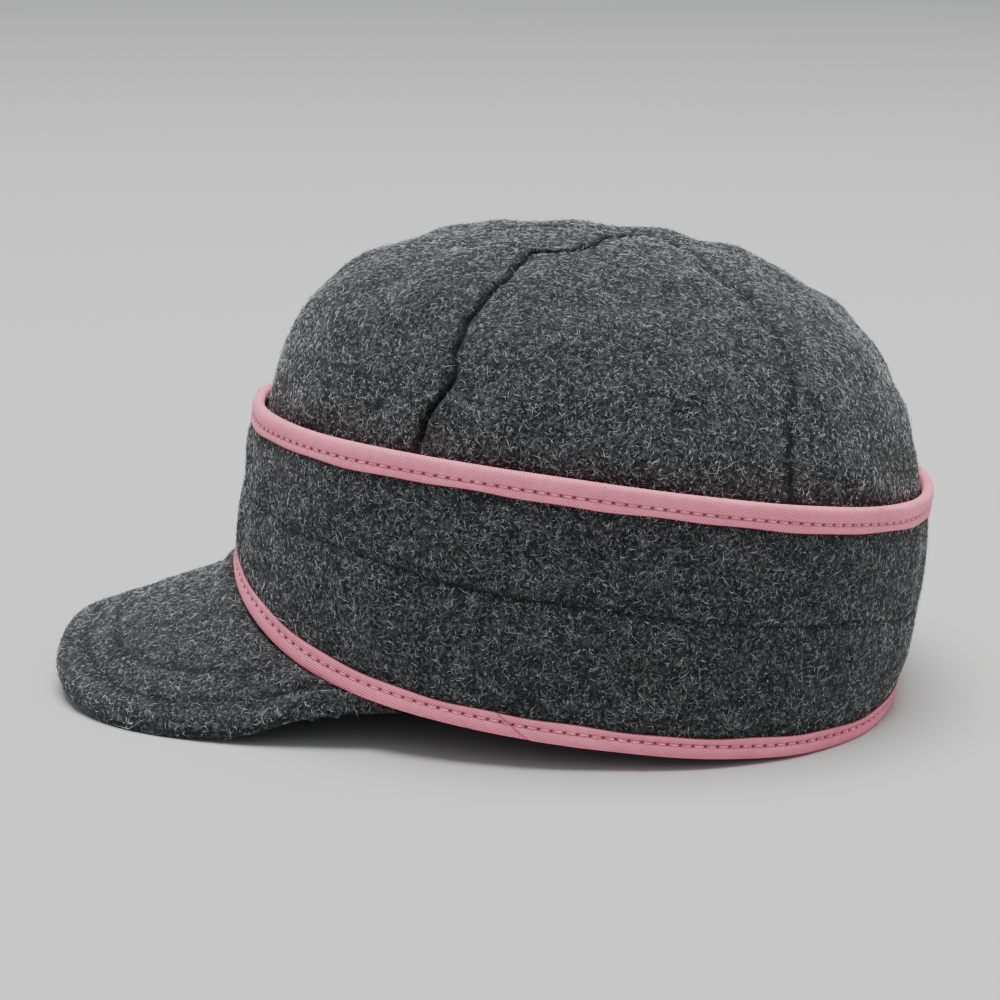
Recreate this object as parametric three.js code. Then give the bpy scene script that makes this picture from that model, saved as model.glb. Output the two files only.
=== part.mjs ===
// A wool cap with a turned-up ear band, in millimetres.
// Six crown panels meet at the top, a wool band bound in cotton tape stands round them, and a bent
// visor of two covers comes out under the band in front. The cap is shaped level, its front towards
// -Y and its left side towards +X. The group then lays it back until the visor's sides and the back
// of the band stand on the table.
import * as THREE from 'three';

// Outline of the band, seen from above
const BAND_LENGTH = 212;
const BAND_WIDTH = 186.6;
const OVAL_POWER = 2.27;
const FRONT_TAPER = 0.065;
const BAND_LEAN = 0.011;
const BAND_HEIGHT = 72;
const BAND_MIDDLE = 42;

// Height of the band's lower and upper edge round the cap, as waves per turn
const LOWER_EDGE = [
  { waves: 0, mm: 0 },
  { waves: 1, mm: 3.15 },
  { waves: 2, mm: 5.45 },
  { waves: 3, mm: 1.5 },
  { waves: 4, mm: 0.8 },
];
const UPPER_EDGE = [
  { waves: 0, mm: 70.7 },
  { waves: 1, mm: -2.45 },
  { waves: 2, mm: -2.75 },
];

// The lower tape stands lower at the two sides of the front, and the upper edge sinks on the right side
const FRONT_DROP = { at: 38, wide: 24, mm: 1.7 };
const RIGHT_DROP = { from: -0.15, rounding: 0.15, mm: 4.5 };

// Cloth
const BAND_WOOL = 2.6;
const HELD_WOOL = 1.5;
const CROWN_WOOL = 2.2;
const TAPE = 0.5;
const UPPER_TAPE_HEIGHT = 7.8;
const LOWER_TAPE_HEIGHT = 6.7;
const GAP = 0.3;
const TAPE_BEND = 0.9;

// Crown
const CROWN_HEIGHT = 130.8;
const SHOULDER = 65.4;
const CROWN_INSET = 3.9;
const DOME_POWER = 2.14;
const TOP_X = -3;
const TOP_Y = 10;
const TOP_OPENING = 1.6;
const RIM_ABOVE_EDGE = 7.4;
const PANEL_FULLNESS = 1.0;
const SEAM_DEPTH = 0.7;
const CROWN_OPENS = 6;
const SEAM_WIDTH = 0.05;

// Visor, measured at the middle of its thickness
const VISOR_REACH = 52.3;
const VISOR_BEND_RADIUS = 114.4;
const VISOR_SLOPE = 0.518;
const VISOR_LEVEL = 4.2;
const VISOR_SQUARENESS = 2.7;
const VISOR_HALF_ANGLE = 66;
const VISOR_THICKNESS = 5.6;
const VISOR_END_THICKNESS = 2.4;
const VISOR_SAG = { at: 0.82, wide: 0.11, mm: 1.3 };
const VISOR_TOP_ROUND = 0.9;
const VISOR_UNDER_ROUND = 0.4;
const VISOR_ROOT_INSET = 7.2;
const VISOR_END_INSET = 4.2;

// How far the soft parts sink into themselves where they stand
const SETTLE = 0.4;

// How far a seam of the crown sways round, in degrees, on its way from the shoulder to the top
const FRONT_SWAY = [
  { rise: 0.12, degrees: 1 },
  { rise: 0.26, degrees: 3.3 },
  { rise: 0.36, degrees: 0.7 },
  { rise: 0.45, degrees: -1.5 },
  { rise: 0.6, degrees: -3.5 },
  { rise: 0.67, degrees: -7.5 },
  { rise: 0.73, degrees: -12.5 },
  { rise: 0.78, degrees: -1 },
  { rise: 0.83, degrees: 0.5 },
  { rise: 0.92, degrees: -16 },
  { rise: 1, degrees: -25 },
];
const BACK_SWAY = [
  { rise: 0.18, degrees: -1 },
  { rise: 0.26, degrees: 0.5 },
  { rise: 0.41, degrees: 4 },
  { rise: 0.49, degrees: 5.8 },
  { rise: 0.7, degrees: 7.2 },
  { rise: 1, degrees: 8 },
];

// Each crown seam: the angle of its foot, and its share of a sway
const SEAMS = [
  { foot: 0, sway: FRONT_SWAY, share: 0 },
  { foot: 61.5, sway: FRONT_SWAY, share: 1 },
  { foot: 122, sway: BACK_SWAY, share: 1 },
  { foot: 180, sway: BACK_SWAY, share: 0 },
  { foot: 238, sway: BACK_SWAY, share: -0.6 },
  { foot: 298.5, sway: FRONT_SWAY, share: -0.4 },
];

// Soft folds of the crown. A fold is centred at an angle and a rise, where 0 is the shoulder and 1 the top.
const CROWN_FOLDS = [
  { at: 10, rise: 0.37, wide: 60, tall: 0.19, lean: 0, out: 2.4 },
  { at: 5, rise: 0.63, wide: 32, tall: 0.06, lean: 0, out: -1 },
  { at: 42, rise: 0.52, wide: 9, tall: 0.2, lean: -40, out: 1.5 },
  { at: 27, rise: 0.56, wide: 9, tall: 0.16, lean: -40, out: -1.3 },
  { at: 52, rise: 0.3, wide: 8, tall: 0.12, lean: 0, out: -1 },
  { at: 95, rise: 0.62, wide: 16, tall: 0.1, lean: 0, out: -1 },
  { at: 133, rise: 0.5, wide: 12, tall: 0.16, lean: 40, out: 1.2 },
  { at: 118, rise: 0.38, wide: 10, tall: 0.2, lean: 0, out: -1 },
  { at: 180, rise: 0.21, wide: 45, tall: 0.16, lean: 0, out: -2 },
  { at: 250, rise: 0.5, wide: 14, tall: 0.16, lean: 0, out: -1.2 },
  { at: 318, rise: 0.45, wide: 12, tall: 0.2, lean: 30, out: 1.2 },
];

// Soft waves of the band, with the rise given as the share of its height
const BAND_FOLDS = [
  { at: 0, rise: 0.75, wide: 40, tall: 0.5, lean: 0, out: 1.3 },
  { at: 180, rise: 0.45, wide: 34, tall: 0.3, lean: 0, out: 2 },
  { at: 180, rise: 0, wide: 34, tall: 0.15, lean: 0, out: -1.6 },
  { at: 28, rise: 0.45, wide: 9, tall: 0.5, lean: 0, out: -0.7 },
  { at: 48, rise: 0.6, wide: 12, tall: 0.5, lean: 0, out: 0.7 },
  { at: 155, rise: 0.9, wide: 18, tall: 0.4, lean: 0, out: 0.8 },
  { at: 205, rise: 0.5, wide: 12, tall: 0.5, lean: 0, out: -0.6 },
  { at: 300, rise: 0.5, wide: 12, tall: 0.5, lean: 0, out: -0.6 },
];

// Mesh steps
const TURN_STEPS = 64;
const RIM_STEPS = 3;
const DOME_STEPS = 14;
const PANEL_SHARES = [0, 0.04, 0.12, 0.24, 0.37, 0.5, 0.63, 0.76, 0.88, 0.96, 1];
const BAND_SHARES = [0, 0.1, 0.17, 0.33, 0.5, 0.67, 0.83, 0.9, 1];
const VISOR_COLUMNS = 20;
const VISOR_SHARES = [0, 0.1, 0.25, 0.45, 0.65, 0.82, 0.94];

// Colours
const WOOL = { color: 0x4b4d50, roughness: 0.95, metalness: 0 };
const COTTON = { color: 0xc48996, roughness: 0.8, metalness: 0 };

const HALF_LENGTH = BAND_LENGTH / 2;
const HALF_WIDTH = BAND_WIDTH / 2;
const BAND_TAPE_WIDTH = HELD_WOOL + 2 * (TAPE + GAP);

function clamp01(value) {
  return Math.min(1, Math.max(0, value));
}

function mix(from, to, share) {
  return from + (to - from) * share;
}

function ease(from, to, value) {
  const share = clamp01((value - from) / (to - from));
  return share * share * (3 - 2 * share);
}

function signedPower(value, power) {
  return Math.sign(value) * Math.abs(value) ** power;
}

// A smooth value between the rows of a table, read by a named column
function between(table, key, column, value) {
  const next = table.findIndex((row) => row[key] > value);
  if (next === -1) return table[table.length - 1][column];
  if (next === 0) return table[0][column];
  const low = table[next - 1];
  const high = table[next];
  return mix(low[column], high[column], ease(low[key], high[key], value));
}

function waveSum(table, degrees) {
  const angle = THREE.MathUtils.degToRad(degrees);
  return table.reduce((sum, row) => sum + row.mm * Math.cos(row.waves * angle), 0);
}

// How much lower the lower tape stands at the two sides of the front
function frontDrop(degrees) {
  const turn = Math.abs(((degrees + 540) % 360) - 180);
  return FRONT_DROP.mm * Math.exp(-(((turn - FRONT_DROP.at) / FRONT_DROP.wide) ** 2));
}

function lowerEdge(degrees) {
  return waveSum(LOWER_EDGE, degrees) - frontDrop(degrees);
}

function upperEdge(degrees) {
  const left = Math.sin(THREE.MathUtils.degToRad(degrees)) - RIGHT_DROP.from;
  const right = (1 - left / Math.hypot(left, RIGHT_DROP.rounding)) / 2;
  return waveSum(UPPER_EDGE, degrees) - RIGHT_DROP.mm * right;
}

// The sum of a table's folds at an angle and a rise
function foldsAt(table, degrees, rise) {
  let sum = 0;
  for (const fold of table) {
    const centre = fold.at + fold.lean * (rise - fold.rise);
    const turn = ((degrees - centre + 540) % 360) - 180;
    sum += fold.out * Math.exp(-((turn / fold.wide) ** 2) - ((rise - fold.rise) / fold.tall) ** 2);
  }
  return sum;
}

// A point of the band's oval, some way in from its outer face. 0 degrees is the front and 90 the left side.
function oval(degrees, height, inset) {
  const angle = THREE.MathUtils.degToRad(degrees);
  const sine = signedPower(Math.sin(angle), 2 / OVAL_POWER);
  const cosine = signedPower(Math.cos(angle), 2 / OVAL_POWER);
  const scale = 1 - (BAND_LEAN * (height - BAND_MIDDLE)) / BAND_HEIGHT;
  const x = (HALF_WIDTH - inset) * sine * (1 - FRONT_TAPER * Math.cos(angle)) * scale;
  const y = -(HALF_LENGTH - inset) * cosine * scale;
  return new THREE.Vector3(x, y, height);
}

// A point of the band's cloth or tape at a height above the band's lower edge
function bandPoint(degrees, height, inset) {
  const share = (height - lowerEdge(degrees)) / (upperEdge(degrees) - lowerEdge(degrees));
  return oval(degrees, height, inset - foldsAt(BAND_FOLDS, degrees, share));
}

// The angle of a seam of the crown on its way up
function seamAngle(seam, rise) {
  return seam.foot + seam.share * between(seam.sway, 'rise', 'degrees', rise);
}

// A point of the crown. The rise is below 0 on the upright wall, 0 at the shoulder and 1 at the top.
function crownPoint(degrees, rise, depth, out) {
  const climb = THREE.MathUtils.degToRad(90 * Math.max(rise, 0));
  const spread = Math.cos(climb) ** (2 / DOME_POWER);
  const lift = Math.sin(climb) ** (2 / DOME_POWER);
  const height = rise < 0 ? SHOULDER * (1 + rise) : mix(SHOULDER, CROWN_HEIGHT, lift);
  const base = oval(degrees, Math.min(height, SHOULDER), CROWN_INSET);
  const drift = (1 - spread) ** 2;
  const angle = THREE.MathUtils.degToRad(degrees);
  const outward = new THREE.Vector3(
    Math.sin(angle) * Math.cos(climb),
    -Math.cos(angle) * Math.cos(climb),
    Math.sin(climb),
  );
  const point = new THREE.Vector3(base.x * spread + TOP_X * drift, base.y * spread + TOP_Y * drift, height);
  const tape = upperEdge(degrees);
  const shown = ease(tape - 1, tape + CROWN_OPENS, height);
  const fade = ease(1, 0.9, rise);
  const folds = (foldsAt(CROWN_FOLDS, degrees, rise) * fade + out) * shown;
  return point.addScaledVector(outward, folds - depth);
}

// How far a panel stands out across its width: full in the middle and pulled in at its two seams
function panelOut(share) {
  const side = Math.min(share, 1 - share);
  const fullness = PANEL_FULLNESS * (Math.sin(Math.PI * share) ** 0.7 - 0.5);
  return fullness - SEAM_DEPTH * Math.exp(-((side / SEAM_WIDTH) ** 2));
}

// The middle of the visor's thickness over a place on the plan, before it is sewn to the cap
function visorBend(x, y) {
  const drop = VISOR_BEND_RADIUS - Math.sqrt(VISOR_BEND_RADIUS ** 2 - x * x);
  return VISOR_LEVEL + VISOR_SLOPE * (y + HALF_LENGTH) - drop;
}

function visorThickness(column) {
  return mix(VISOR_THICKNESS, VISOR_END_THICKNESS, Math.abs(column) ** 5);
}

// How much lower the visor's free edge sags beside its two ends
function visorSag(column) {
  return VISOR_SAG.mm * Math.exp(-(((Math.abs(column) - VISOR_SAG.at) / VISOR_SAG.wide) ** 2));
}

// The plan of the visor: its root under the cap's rim and its free edge, for a column from -1 to 1
function visorPlan(column, share) {
  const root = oval(column * VISOR_HALF_ANGLE, 0, VISOR_ROOT_INSET);
  const end = oval(VISOR_HALF_ANGLE, 0, VISOR_END_INSET);
  const front = -(HALF_LENGTH + VISOR_REACH);
  const turn = (column * Math.PI) / 2;
  const edgeX = end.x * signedPower(Math.sin(turn), 2 / VISOR_SQUARENESS);
  const edgeY = mix(end.y, front, Math.cos(turn) ** (2 / VISOR_SQUARENESS));
  return [mix(root.x, edgeX, share), mix(root.y, edgeY, share)];
}

// How far a place on the plan lies outside the band's oval, and the angle at which it does
function besideBand(x, y) {
  const angle = Math.atan2(x / HALF_WIDTH, -y / HALF_LENGTH);
  const degrees = THREE.MathUtils.radToDeg(angle);
  const face = oval(degrees, 0, 0);
  return { degrees, out: Math.hypot(x, y) - Math.hypot(face.x, face.y) };
}

// The visor's upper face follows its bend, and meets the band's lower edge where it goes under it
function visorTopFace(column, share) {
  const [x, y] = visorPlan(column, share);
  const { degrees, out } = besideBand(x, y);
  const free = visorBend(x, y) + visorThickness(column) / 2 - share * visorSag(column);
  const sewn = lowerEdge(degrees) - 2 * GAP;
  const reach = sewn > free ? 7 : 20;
  return new THREE.Vector3(x, y, mix(sewn, free, ease(1, reach, out)));
}

function visorPoint(column, share, depth) {
  const point = visorTopFace(column, share);
  point.z -= depth;
  return point;
}

// The crown's rim stands on the visor's root in front and above the band's lower edge elsewhere
function crownRim(degrees) {
  const turn = Math.abs(((degrees + 180) % 360) - 180);
  const overVisor = visorTopFace(Math.min(turn / VISOR_HALF_ANGLE, 1), 0).z + 2 * GAP;
  const overEdge = lowerEdge(turn) + RIM_ABOVE_EDGE;
  return mix(overVisor, overEdge, ease(VISOR_HALF_ANGLE + 2, VISOR_HALF_ANGLE + 12, turn));
}

// The angle by which the cap leans back so that its visor and the back of its band reach the table together
function restingTilt() {
  const lowest = (tilt, points) => {
    const heights = points.map((point) => point.z * Math.cos(tilt) - point.y * Math.sin(tilt));
    return Math.min(...heights);
  };
  const visor = [];
  const band = [];
  for (let i = 0; i <= 80; i++) {
    visor.push(visorPoint(i / 80, 1, visorThickness(i / 80) - VISOR_UNDER_ROUND));
    band.push(oval(90 + (i / 80) * 90, lowerEdge(90 + (i / 80) * 90), 0));
  }
  let low = 0;
  let high = 0.4;
  for (let i = 0; i < 40; i++) {
    const tilt = (low + high) / 2;
    if (lowest(tilt, visor) < lowest(tilt, band)) low = tilt;
    else high = tilt;
  }
  return { tilt: low, floor: lowest(low, visor) + SETTLE };
}

const REST = restingTilt();

// Cloth that would reach below the table is flattened on it
function settled(point) {
  const table = (REST.floor + point.y * Math.sin(REST.tilt)) / Math.cos(REST.tilt);
  point.z = Math.max(point.z, table);
  return point;
}

function addQuad(faces, a, b, c, d) {
  faces.push(a, b, c, a, c, d);
}

function meshFrom(name, points, faces, look) {
  const geometry = new THREE.BufferGeometry();
  const numbers = points.flatMap((point) => [point.x, point.y, point.z]);
  geometry.setAttribute('position', new THREE.Float32BufferAttribute(numbers, 3));
  geometry.setIndex(faces);
  geometry.computeVertexNormals();
  const mesh = new THREE.Mesh(geometry, new THREE.MeshStandardMaterial(look));
  mesh.name = name;
  return mesh;
}

// A closed wall of cloth between an outer and an inner face. Each is a grid of rows from low to high,
// with its columns running anticlockwise seen from above, or seen from the outer face.
function wall(name, outer, inner, isLoop, look) {
  const rows = outer.length;
  const columns = outer[0].length;
  const points = [...outer.flat(), ...inner.flat()];
  const faces = [];
  const out = (row, column) => row * columns + (column % columns);
  const back = (row, column) => rows * columns + out(row, column);
  const spans = isLoop ? columns : columns - 1;
  const top = rows - 1;
  for (let column = 0; column < spans; column++) {
    const next = column + 1;
    for (let row = 0; row < top; row++) {
      addQuad(faces, out(row, column), out(row, next), out(row + 1, next), out(row + 1, column));
      addQuad(faces, back(row, column), back(row + 1, column), back(row + 1, next), back(row, next));
    }
    addQuad(faces, out(0, column), back(0, column), back(0, next), out(0, next));
    addQuad(faces, out(top, column), out(top, next), back(top, next), back(top, column));
  }
  if (!isLoop) {
    const last = columns - 1;
    for (let row = 0; row < top; row++) {
      addQuad(faces, out(row, 0), out(row + 1, 0), back(row + 1, 0), back(row, 0));
      addQuad(faces, out(row, last), back(row, last), back(row + 1, last), out(row + 1, last));
    }
  }
  return meshFrom(name, points, faces, look);
}

function crownPanel(name, first, second) {
  const grid = (depth) => {
    const rows = [];
    const topRise = (Math.acos((TOP_OPENING / HALF_LENGTH) ** (DOME_POWER / 2)) * 2) / Math.PI;
    for (let step = 0; step <= RIM_STEPS + DOME_STEPS; step++) {
      rows.push(PANEL_SHARES.map((share) => {
        const dome = ((step - RIM_STEPS) / DOME_STEPS) * topRise;
        const rise = Math.max(dome, 0);
        const spread = Math.cos((rise * Math.PI) / 2) ** (2 / DOME_POWER);
        const halfGap = THREE.MathUtils.radToDeg(GAP / 2 / (HALF_WIDTH * spread * 0.9));
        const from = seamAngle(first, rise) + halfGap;
        const to = seamAngle(second, rise) + (second.foot < first.foot ? 360 : 0) - halfGap;
        const degrees = mix(from, to, share);
        const rim = crownRim(degrees) / SHOULDER - 1;
        const place = step < RIM_STEPS ? mix(rim, 0, step / RIM_STEPS) : dome;
        return crownPoint(degrees, place, depth, panelOut(share));
      }));
    }
    return rows;
  };
  return wall(name, grid(0), grid(CROWN_WOOL), false, WOOL);
}

// The band's wool is held flat under the tapes, stands out between them, and is drawn in by the
// stitching along its middle.
function earBand() {
  const angles = Array.from({ length: TURN_STEPS }, (_, step) => (step * 360) / TURN_STEPS);
  const grid = (isInner) => BAND_SHARES.map((share) => angles.map((degrees) => {
    const edge = TAPE + GAP;
    const height = mix(lowerEdge(degrees) + edge, upperEdge(degrees) - edge, share);
    const held = 1 - ease(0.1, 0.2, Math.min(share, 1 - share));
    const stitched = Math.exp(-(((share - 0.5) / 0.06) ** 2));
    const face = mix(0.2, edge, held) + 0.7 * stitched;
    const thickness = mix(BAND_WOOL, HELD_WOOL, held) - 0.6 * stitched;
    return bandPoint(degrees, height, isInner ? face + thickness : face);
  }));
  return wall('ear_band', grid(false), grid(true), true, WOOL);
}

// A tape folded over an edge of the band. It points down from the upper edge, or up from the lower one.
// Its section reaches to the full height, or bends over at the edge.
function binding(name, edgeAt, heightAt, direction) {
  const width = BAND_TAPE_WIDTH;
  const section = [
    { inset: 0, full: 1, bend: 0 },
    { inset: 0, full: 0, bend: TAPE_BEND },
    { inset: TAPE_BEND, full: 0, bend: 0 },
    { inset: width - TAPE_BEND, full: 0, bend: 0 },
    { inset: width, full: 0, bend: TAPE_BEND },
    { inset: width, full: 1, bend: 0 },
    { inset: width - TAPE, full: 1, bend: 0 },
    { inset: width - TAPE, full: 0, bend: TAPE },
    { inset: TAPE, full: 0, bend: TAPE },
    { inset: TAPE, full: 1, bend: 0 },
  ];
  const points = [];
  const faces = [];
  for (let step = 0; step < TURN_STEPS; step++) {
    const degrees = (step * 360) / TURN_STEPS;
    for (const place of section) {
      const drop = place.full * heightAt(degrees) + place.bend;
      const level = edgeAt(degrees) - direction * drop;
      points.push(settled(bandPoint(degrees, level, place.inset)));
    }
  }
  const at = (step, corner) => (step % TURN_STEPS) * section.length + (corner % section.length);
  for (let step = 0; step < TURN_STEPS; step++) {
    for (let corner = 0; corner < section.length; corner++) {
      const ring = [at(step, corner), at(step + 1, corner), at(step + 1, corner + 1), at(step, corner + 1)];
      addQuad(faces, ...(direction > 0 ? ring : ring.reverse()));
    }
  }
  return meshFrom(name, points, faces, COTTON);
}

function visorCover(name, topDepth, bottomDepth, topRound, bottomRound) {
  const columns = Array.from({ length: VISOR_COLUMNS + 1 }, (_, step) => {
    const even = (2 * step) / VISOR_COLUMNS - 1;
    return Math.sign(even) * Math.abs(even) ** 0.9;
  });
  const face = (depthAt, edgeDepth) => {
    const rowAt = (share, more) => columns.map((column) => {
      return settled(visorPoint(column, share, depthAt(column) + more));
    });
    return [...VISOR_SHARES.map((share) => rowAt(share, 0)), rowAt(1, edgeDepth)];
  };
  const upper = face(topDepth, topRound);
  const lower = face(bottomDepth, -bottomRound);
  return wall(name, lower, upper, false, WOOL);
}

const cap = new THREE.Group();
const PANEL_NAMES = [
  'crown_front_left',
  'crown_side_left',
  'crown_back_left',
  'crown_back_right',
  'crown_side_right',
  'crown_front_right',
];
PANEL_NAMES.forEach((name, i) => {
  cap.add(crownPanel(name, SEAMS[i], SEAMS[(i + 1) % SEAMS.length]));
});
cap.add(earBand());
cap.add(binding('band_top_binding', upperEdge, () => UPPER_TAPE_HEIGHT, 1));
cap.add(binding('band_bottom_binding', lowerEdge, (degrees) => LOWER_TAPE_HEIGHT + frontDrop(degrees), -1));
const topUnderside = (column) => visorThickness(column) / 2 - GAP / 2;
const underTopside = (column) => visorThickness(column) / 2 + GAP / 2;
cap.add(visorCover('visor_top', () => 0, topUnderside, VISOR_TOP_ROUND, 0));
cap.add(visorCover('visor_under', underTopside, visorThickness, 0, VISOR_UNDER_ROUND));

// The cap lies back on the table, centred over the origin
const group = new THREE.Group();
cap.rotation.x = -REST.tilt;
group.add(cap);
group.updateMatrixWorld(true);
const box = new THREE.Box3().setFromObject(group, true);
cap.position.set(-(box.min.x + box.max.x) / 2, -(box.min.y + box.max.y) / 2, -REST.floor);

export default group;
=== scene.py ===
"""A charcoal wool cap with a turned-up ear band bound in pink cotton tape.

The crown, band, tapes and visor are shaped level, in millimetres, with the front towards -Y and the
cap's left towards +X, and are then laid back on the table as the frame's pieces are.
"""

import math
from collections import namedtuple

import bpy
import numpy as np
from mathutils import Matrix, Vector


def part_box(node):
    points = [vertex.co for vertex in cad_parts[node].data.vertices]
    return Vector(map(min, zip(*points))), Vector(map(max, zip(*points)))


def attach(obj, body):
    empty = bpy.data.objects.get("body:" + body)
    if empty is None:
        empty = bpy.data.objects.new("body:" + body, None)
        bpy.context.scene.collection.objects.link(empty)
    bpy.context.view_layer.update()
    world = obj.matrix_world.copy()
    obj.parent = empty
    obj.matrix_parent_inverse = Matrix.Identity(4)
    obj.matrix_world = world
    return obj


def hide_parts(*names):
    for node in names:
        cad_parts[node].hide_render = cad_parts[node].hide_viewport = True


bl_info = {
    "name": "Wool Cap",
    "version": (1, 0, 0),
    "blender": (4, 5, 0),
    "location": "View3D > Sidebar > Wool Cap",
    "description": "Makes a wool cap with a turned-up ear band, its tapes, stitches and fibres",
    "category": "Mesh",
}

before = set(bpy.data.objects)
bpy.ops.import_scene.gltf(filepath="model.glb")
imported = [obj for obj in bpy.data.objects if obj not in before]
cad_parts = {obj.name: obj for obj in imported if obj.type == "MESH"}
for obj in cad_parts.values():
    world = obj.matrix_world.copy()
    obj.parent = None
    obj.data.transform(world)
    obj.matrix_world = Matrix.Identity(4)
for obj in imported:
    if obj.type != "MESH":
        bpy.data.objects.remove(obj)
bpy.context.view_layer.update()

MM = 0.001
FAR = 99.0

# Outline of the band, in millimetres
BAND_LENGTH = 212
BAND_WIDTH = 186.6
OVAL_POWER = 2.27
FRONT_TAPER = 0.065
BAND_LEAN = 0.011
BAND_HEIGHT = 72
BAND_MIDDLE = 42
HALF_LENGTH = BAND_LENGTH / 2
HALF_WIDTH = BAND_WIDTH / 2

# Height of the band's edges round the cap: millimetres for each number of waves per turn
LOWER_EDGE = {1: 3.15, 2: 5.45, 3: 1.5, 4: 0.8}
UPPER_EDGE = {0: 70.7, 1: -2.45, 2: -2.75}

# The lower tape stands lower at the two sides of the front, and the upper edge sinks on the right side
FRONT_DROP = {"at": 38, "wide": 24, "mm": 1.7}
RIGHT_DROP = {"from": -0.15, "rounding": 0.15, "mm": 4.5}

# Cloth and tape
WOOL_THICKNESS = 2.2
GROUND_LIGHT = 0.32
WOOL_SHEEN = (0.86, 0.87, 0.88)
COTTON_SHEEN = (1, 0.85, 0.88)
HELD_WOOL = 1.5
TAPE_THICKNESS = 0.45
TAPE_ROOM = 0.8
TAPE_WIDTH = HELD_WOOL + 2 * TAPE_ROOM
TAPE_SQUARENESS = 0.72
UPPER_TAPE_HEIGHT = 7.8
LOWER_TAPE_HEIGHT = 6.7
STITCH_SHARE = 0.62
RIB_SPACING = 0.95

# Where the lower tape's end laps over its beginning: millimetres along its stitches, and its slant
LAP_AT = 145.6
LAP_SLANT = 1.6

# Crown
CROWN_HEIGHT = 130.8
SHOULDER = 65.4
CROWN_INSET = 3.8
DOME_POWER = 2.14
TOP_X = -3
TOP_Y = 10
RIM_ABOVE_EDGE = 7.4
PANEL_FULLNESS = 1.0
CROWN_OPENS = 6
TOP_HOLE = 0.2

# Visor, measured at the middle of its thickness
VISOR_REACH = 52.3
VISOR_BEND_RADIUS = 114.4
VISOR_SLOPE = 0.518
VISOR_LEVEL = 4.2
VISOR_SQUARENESS = 2.7
VISOR_HALF_ANGLE = 66
VISOR_THICKNESS = 5.6
VISOR_END_THICKNESS = 2.4
VISOR_ROOT_INSET = 7.2
VISOR_END_INSET = 4.2
VISOR_SAG = {"at": 0.82, "wide": 0.11, "mm": 1.3}
ROOT_FALLS_OVER = 7
ROOT_RISES_OVER = 20
TOP_ROLL = 2.4
UNDER_ROLL = 1.2
COARSE_COLUMNS = 20
COLUMN_POWER = 0.9
GAP = 0.3

# How far the cap settles into the table's plane before it is flattened there
SETTLE = 0.4

# Camera at the photograph's angle, in degrees and metres
CAMERA_AZIMUTH = 92.3
CAMERA_ELEVATION = 14.26
CAMERA_ROLL = -0.45
CAMERA_DISTANCE = 0.8902
CAMERA_AIM = (0, 0.0025, 0.0565)

# Each row: how far up from the shoulder to the top, and how many degrees a seam sways there
FRONT_SWAY = (
    (0.12, 1), (0.26, 3.3), (0.36, 0.7), (0.45, -1.5), (0.6, -3.5), (0.67, -7.5),
    (0.73, -12.5), (0.78, -1), (0.83, 0.5), (0.92, -16), (1, -25),
)
BACK_SWAY = ((0.18, -1), (0.26, 0.5), (0.41, 4), (0.49, 5.8), (0.7, 7.2), (1, 8))
NO_SWAY = ((0, 0), (1, 0))

# How strong the painted shade in a seam's crease is at each share of the way up
PLAIN_SEAM_SHADE = ((0, 0.3), (1, 0.2))
BACK_SEAM_SHADE = ((0, 0.7), (0.22, 0.8), (0.36, 0.4), (1, 0.15))
FRONT_SEAM_SHADE = ((0, 0.9), (0.3, 1), (0.95, 1), (1, 0.8))

# Each crown seam: the angle of its foot, its sway and its share of it, how far the cloth before it and
# after it is raised, how deep its crease is, and how strong the painted shade in its crease is
Seam = namedtuple("Seam", "foot sway share before after deep dark")
SEAMS = (
    Seam(0, NO_SWAY, 0, 0.1, 0.1, 0.4, PLAIN_SEAM_SHADE),
    Seam(61.5, FRONT_SWAY, 1, 0.4, 0, 2.1, FRONT_SEAM_SHADE),
    Seam(122, BACK_SWAY, 1, -0.6, 0.1, 0.15, BACK_SEAM_SHADE),
    Seam(180, NO_SWAY, 0, 0.1, 0.1, 0.4, PLAIN_SEAM_SHADE),
    Seam(238, BACK_SWAY, -0.6, 0.1, 0.1, 0.4, BACK_SEAM_SHADE),
    Seam(298.5, FRONT_SWAY, -0.4, -0.1, 0.3, 1.0, FRONT_SEAM_SHADE),
)
PANELS = (
    "crown_front_left", "crown_side_left", "crown_back_left",
    "crown_back_right", "crown_side_right", "crown_front_right",
)

# Folds: centre angle, centre rise, width in degrees, height, lean, and how far out in millimetres
CROWN_FOLDS = (
    (10, 0.37, 60, 0.19, 0, 2.4),
    (5, 0.63, 32, 0.06, 0, -1),
    (42, 0.52, 9, 0.2, -40, 1.5),
    (27, 0.56, 9, 0.16, -40, -1.3),
    (52, 0.3, 8, 0.12, 0, -1),
    (95, 0.62, 16, 0.1, 0, -1),
    (133, 0.5, 12, 0.16, 40, 1.2),
    (118, 0.38, 10, 0.2, 0, -1),
    (180, 0.21, 45, 0.16, 0, -2),
    (250, 0.5, 14, 0.16, 0, -1.2),
    (318, 0.45, 12, 0.2, 30, 1.2),
)
BAND_FOLDS = (
    (0, 0.75, 40, 0.5, 0, 1.3),
    (180, 0.45, 34, 0.3, 0, 2),
    (180, 0, 34, 0.15, 0, -1.6),
    (28, 0.45, 9, 0.5, 0, -0.7),
    (48, 0.6, 12, 0.5, 0, 0.7),
    (155, 0.9, 18, 0.4, 0, 0.8),
    (205, 0.5, 12, 0.5, 0, -0.6),
    (300, 0.5, 12, 0.5, 0, -0.6),
)

# Unevenness of the cloth: how far out, over what length, in millimetres, and the seed that draws it
CROWN_RIPPLE = (0.6, 24, 3)
BAND_RIPPLE = (0.45, 20, 5)
VISOR_RIPPLE = (0.22, 9, 11)

# The visor's unevenness is drawn out from front to back
VISOR_GRAIN = np.array([1, 0.45, 1])


# Properties

def colour_value(name, description, default):
    return bpy.props.FloatVectorProperty(
        name=name, description=description, subtype="COLOR", size=3, default=default, min=0, max=1)


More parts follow.
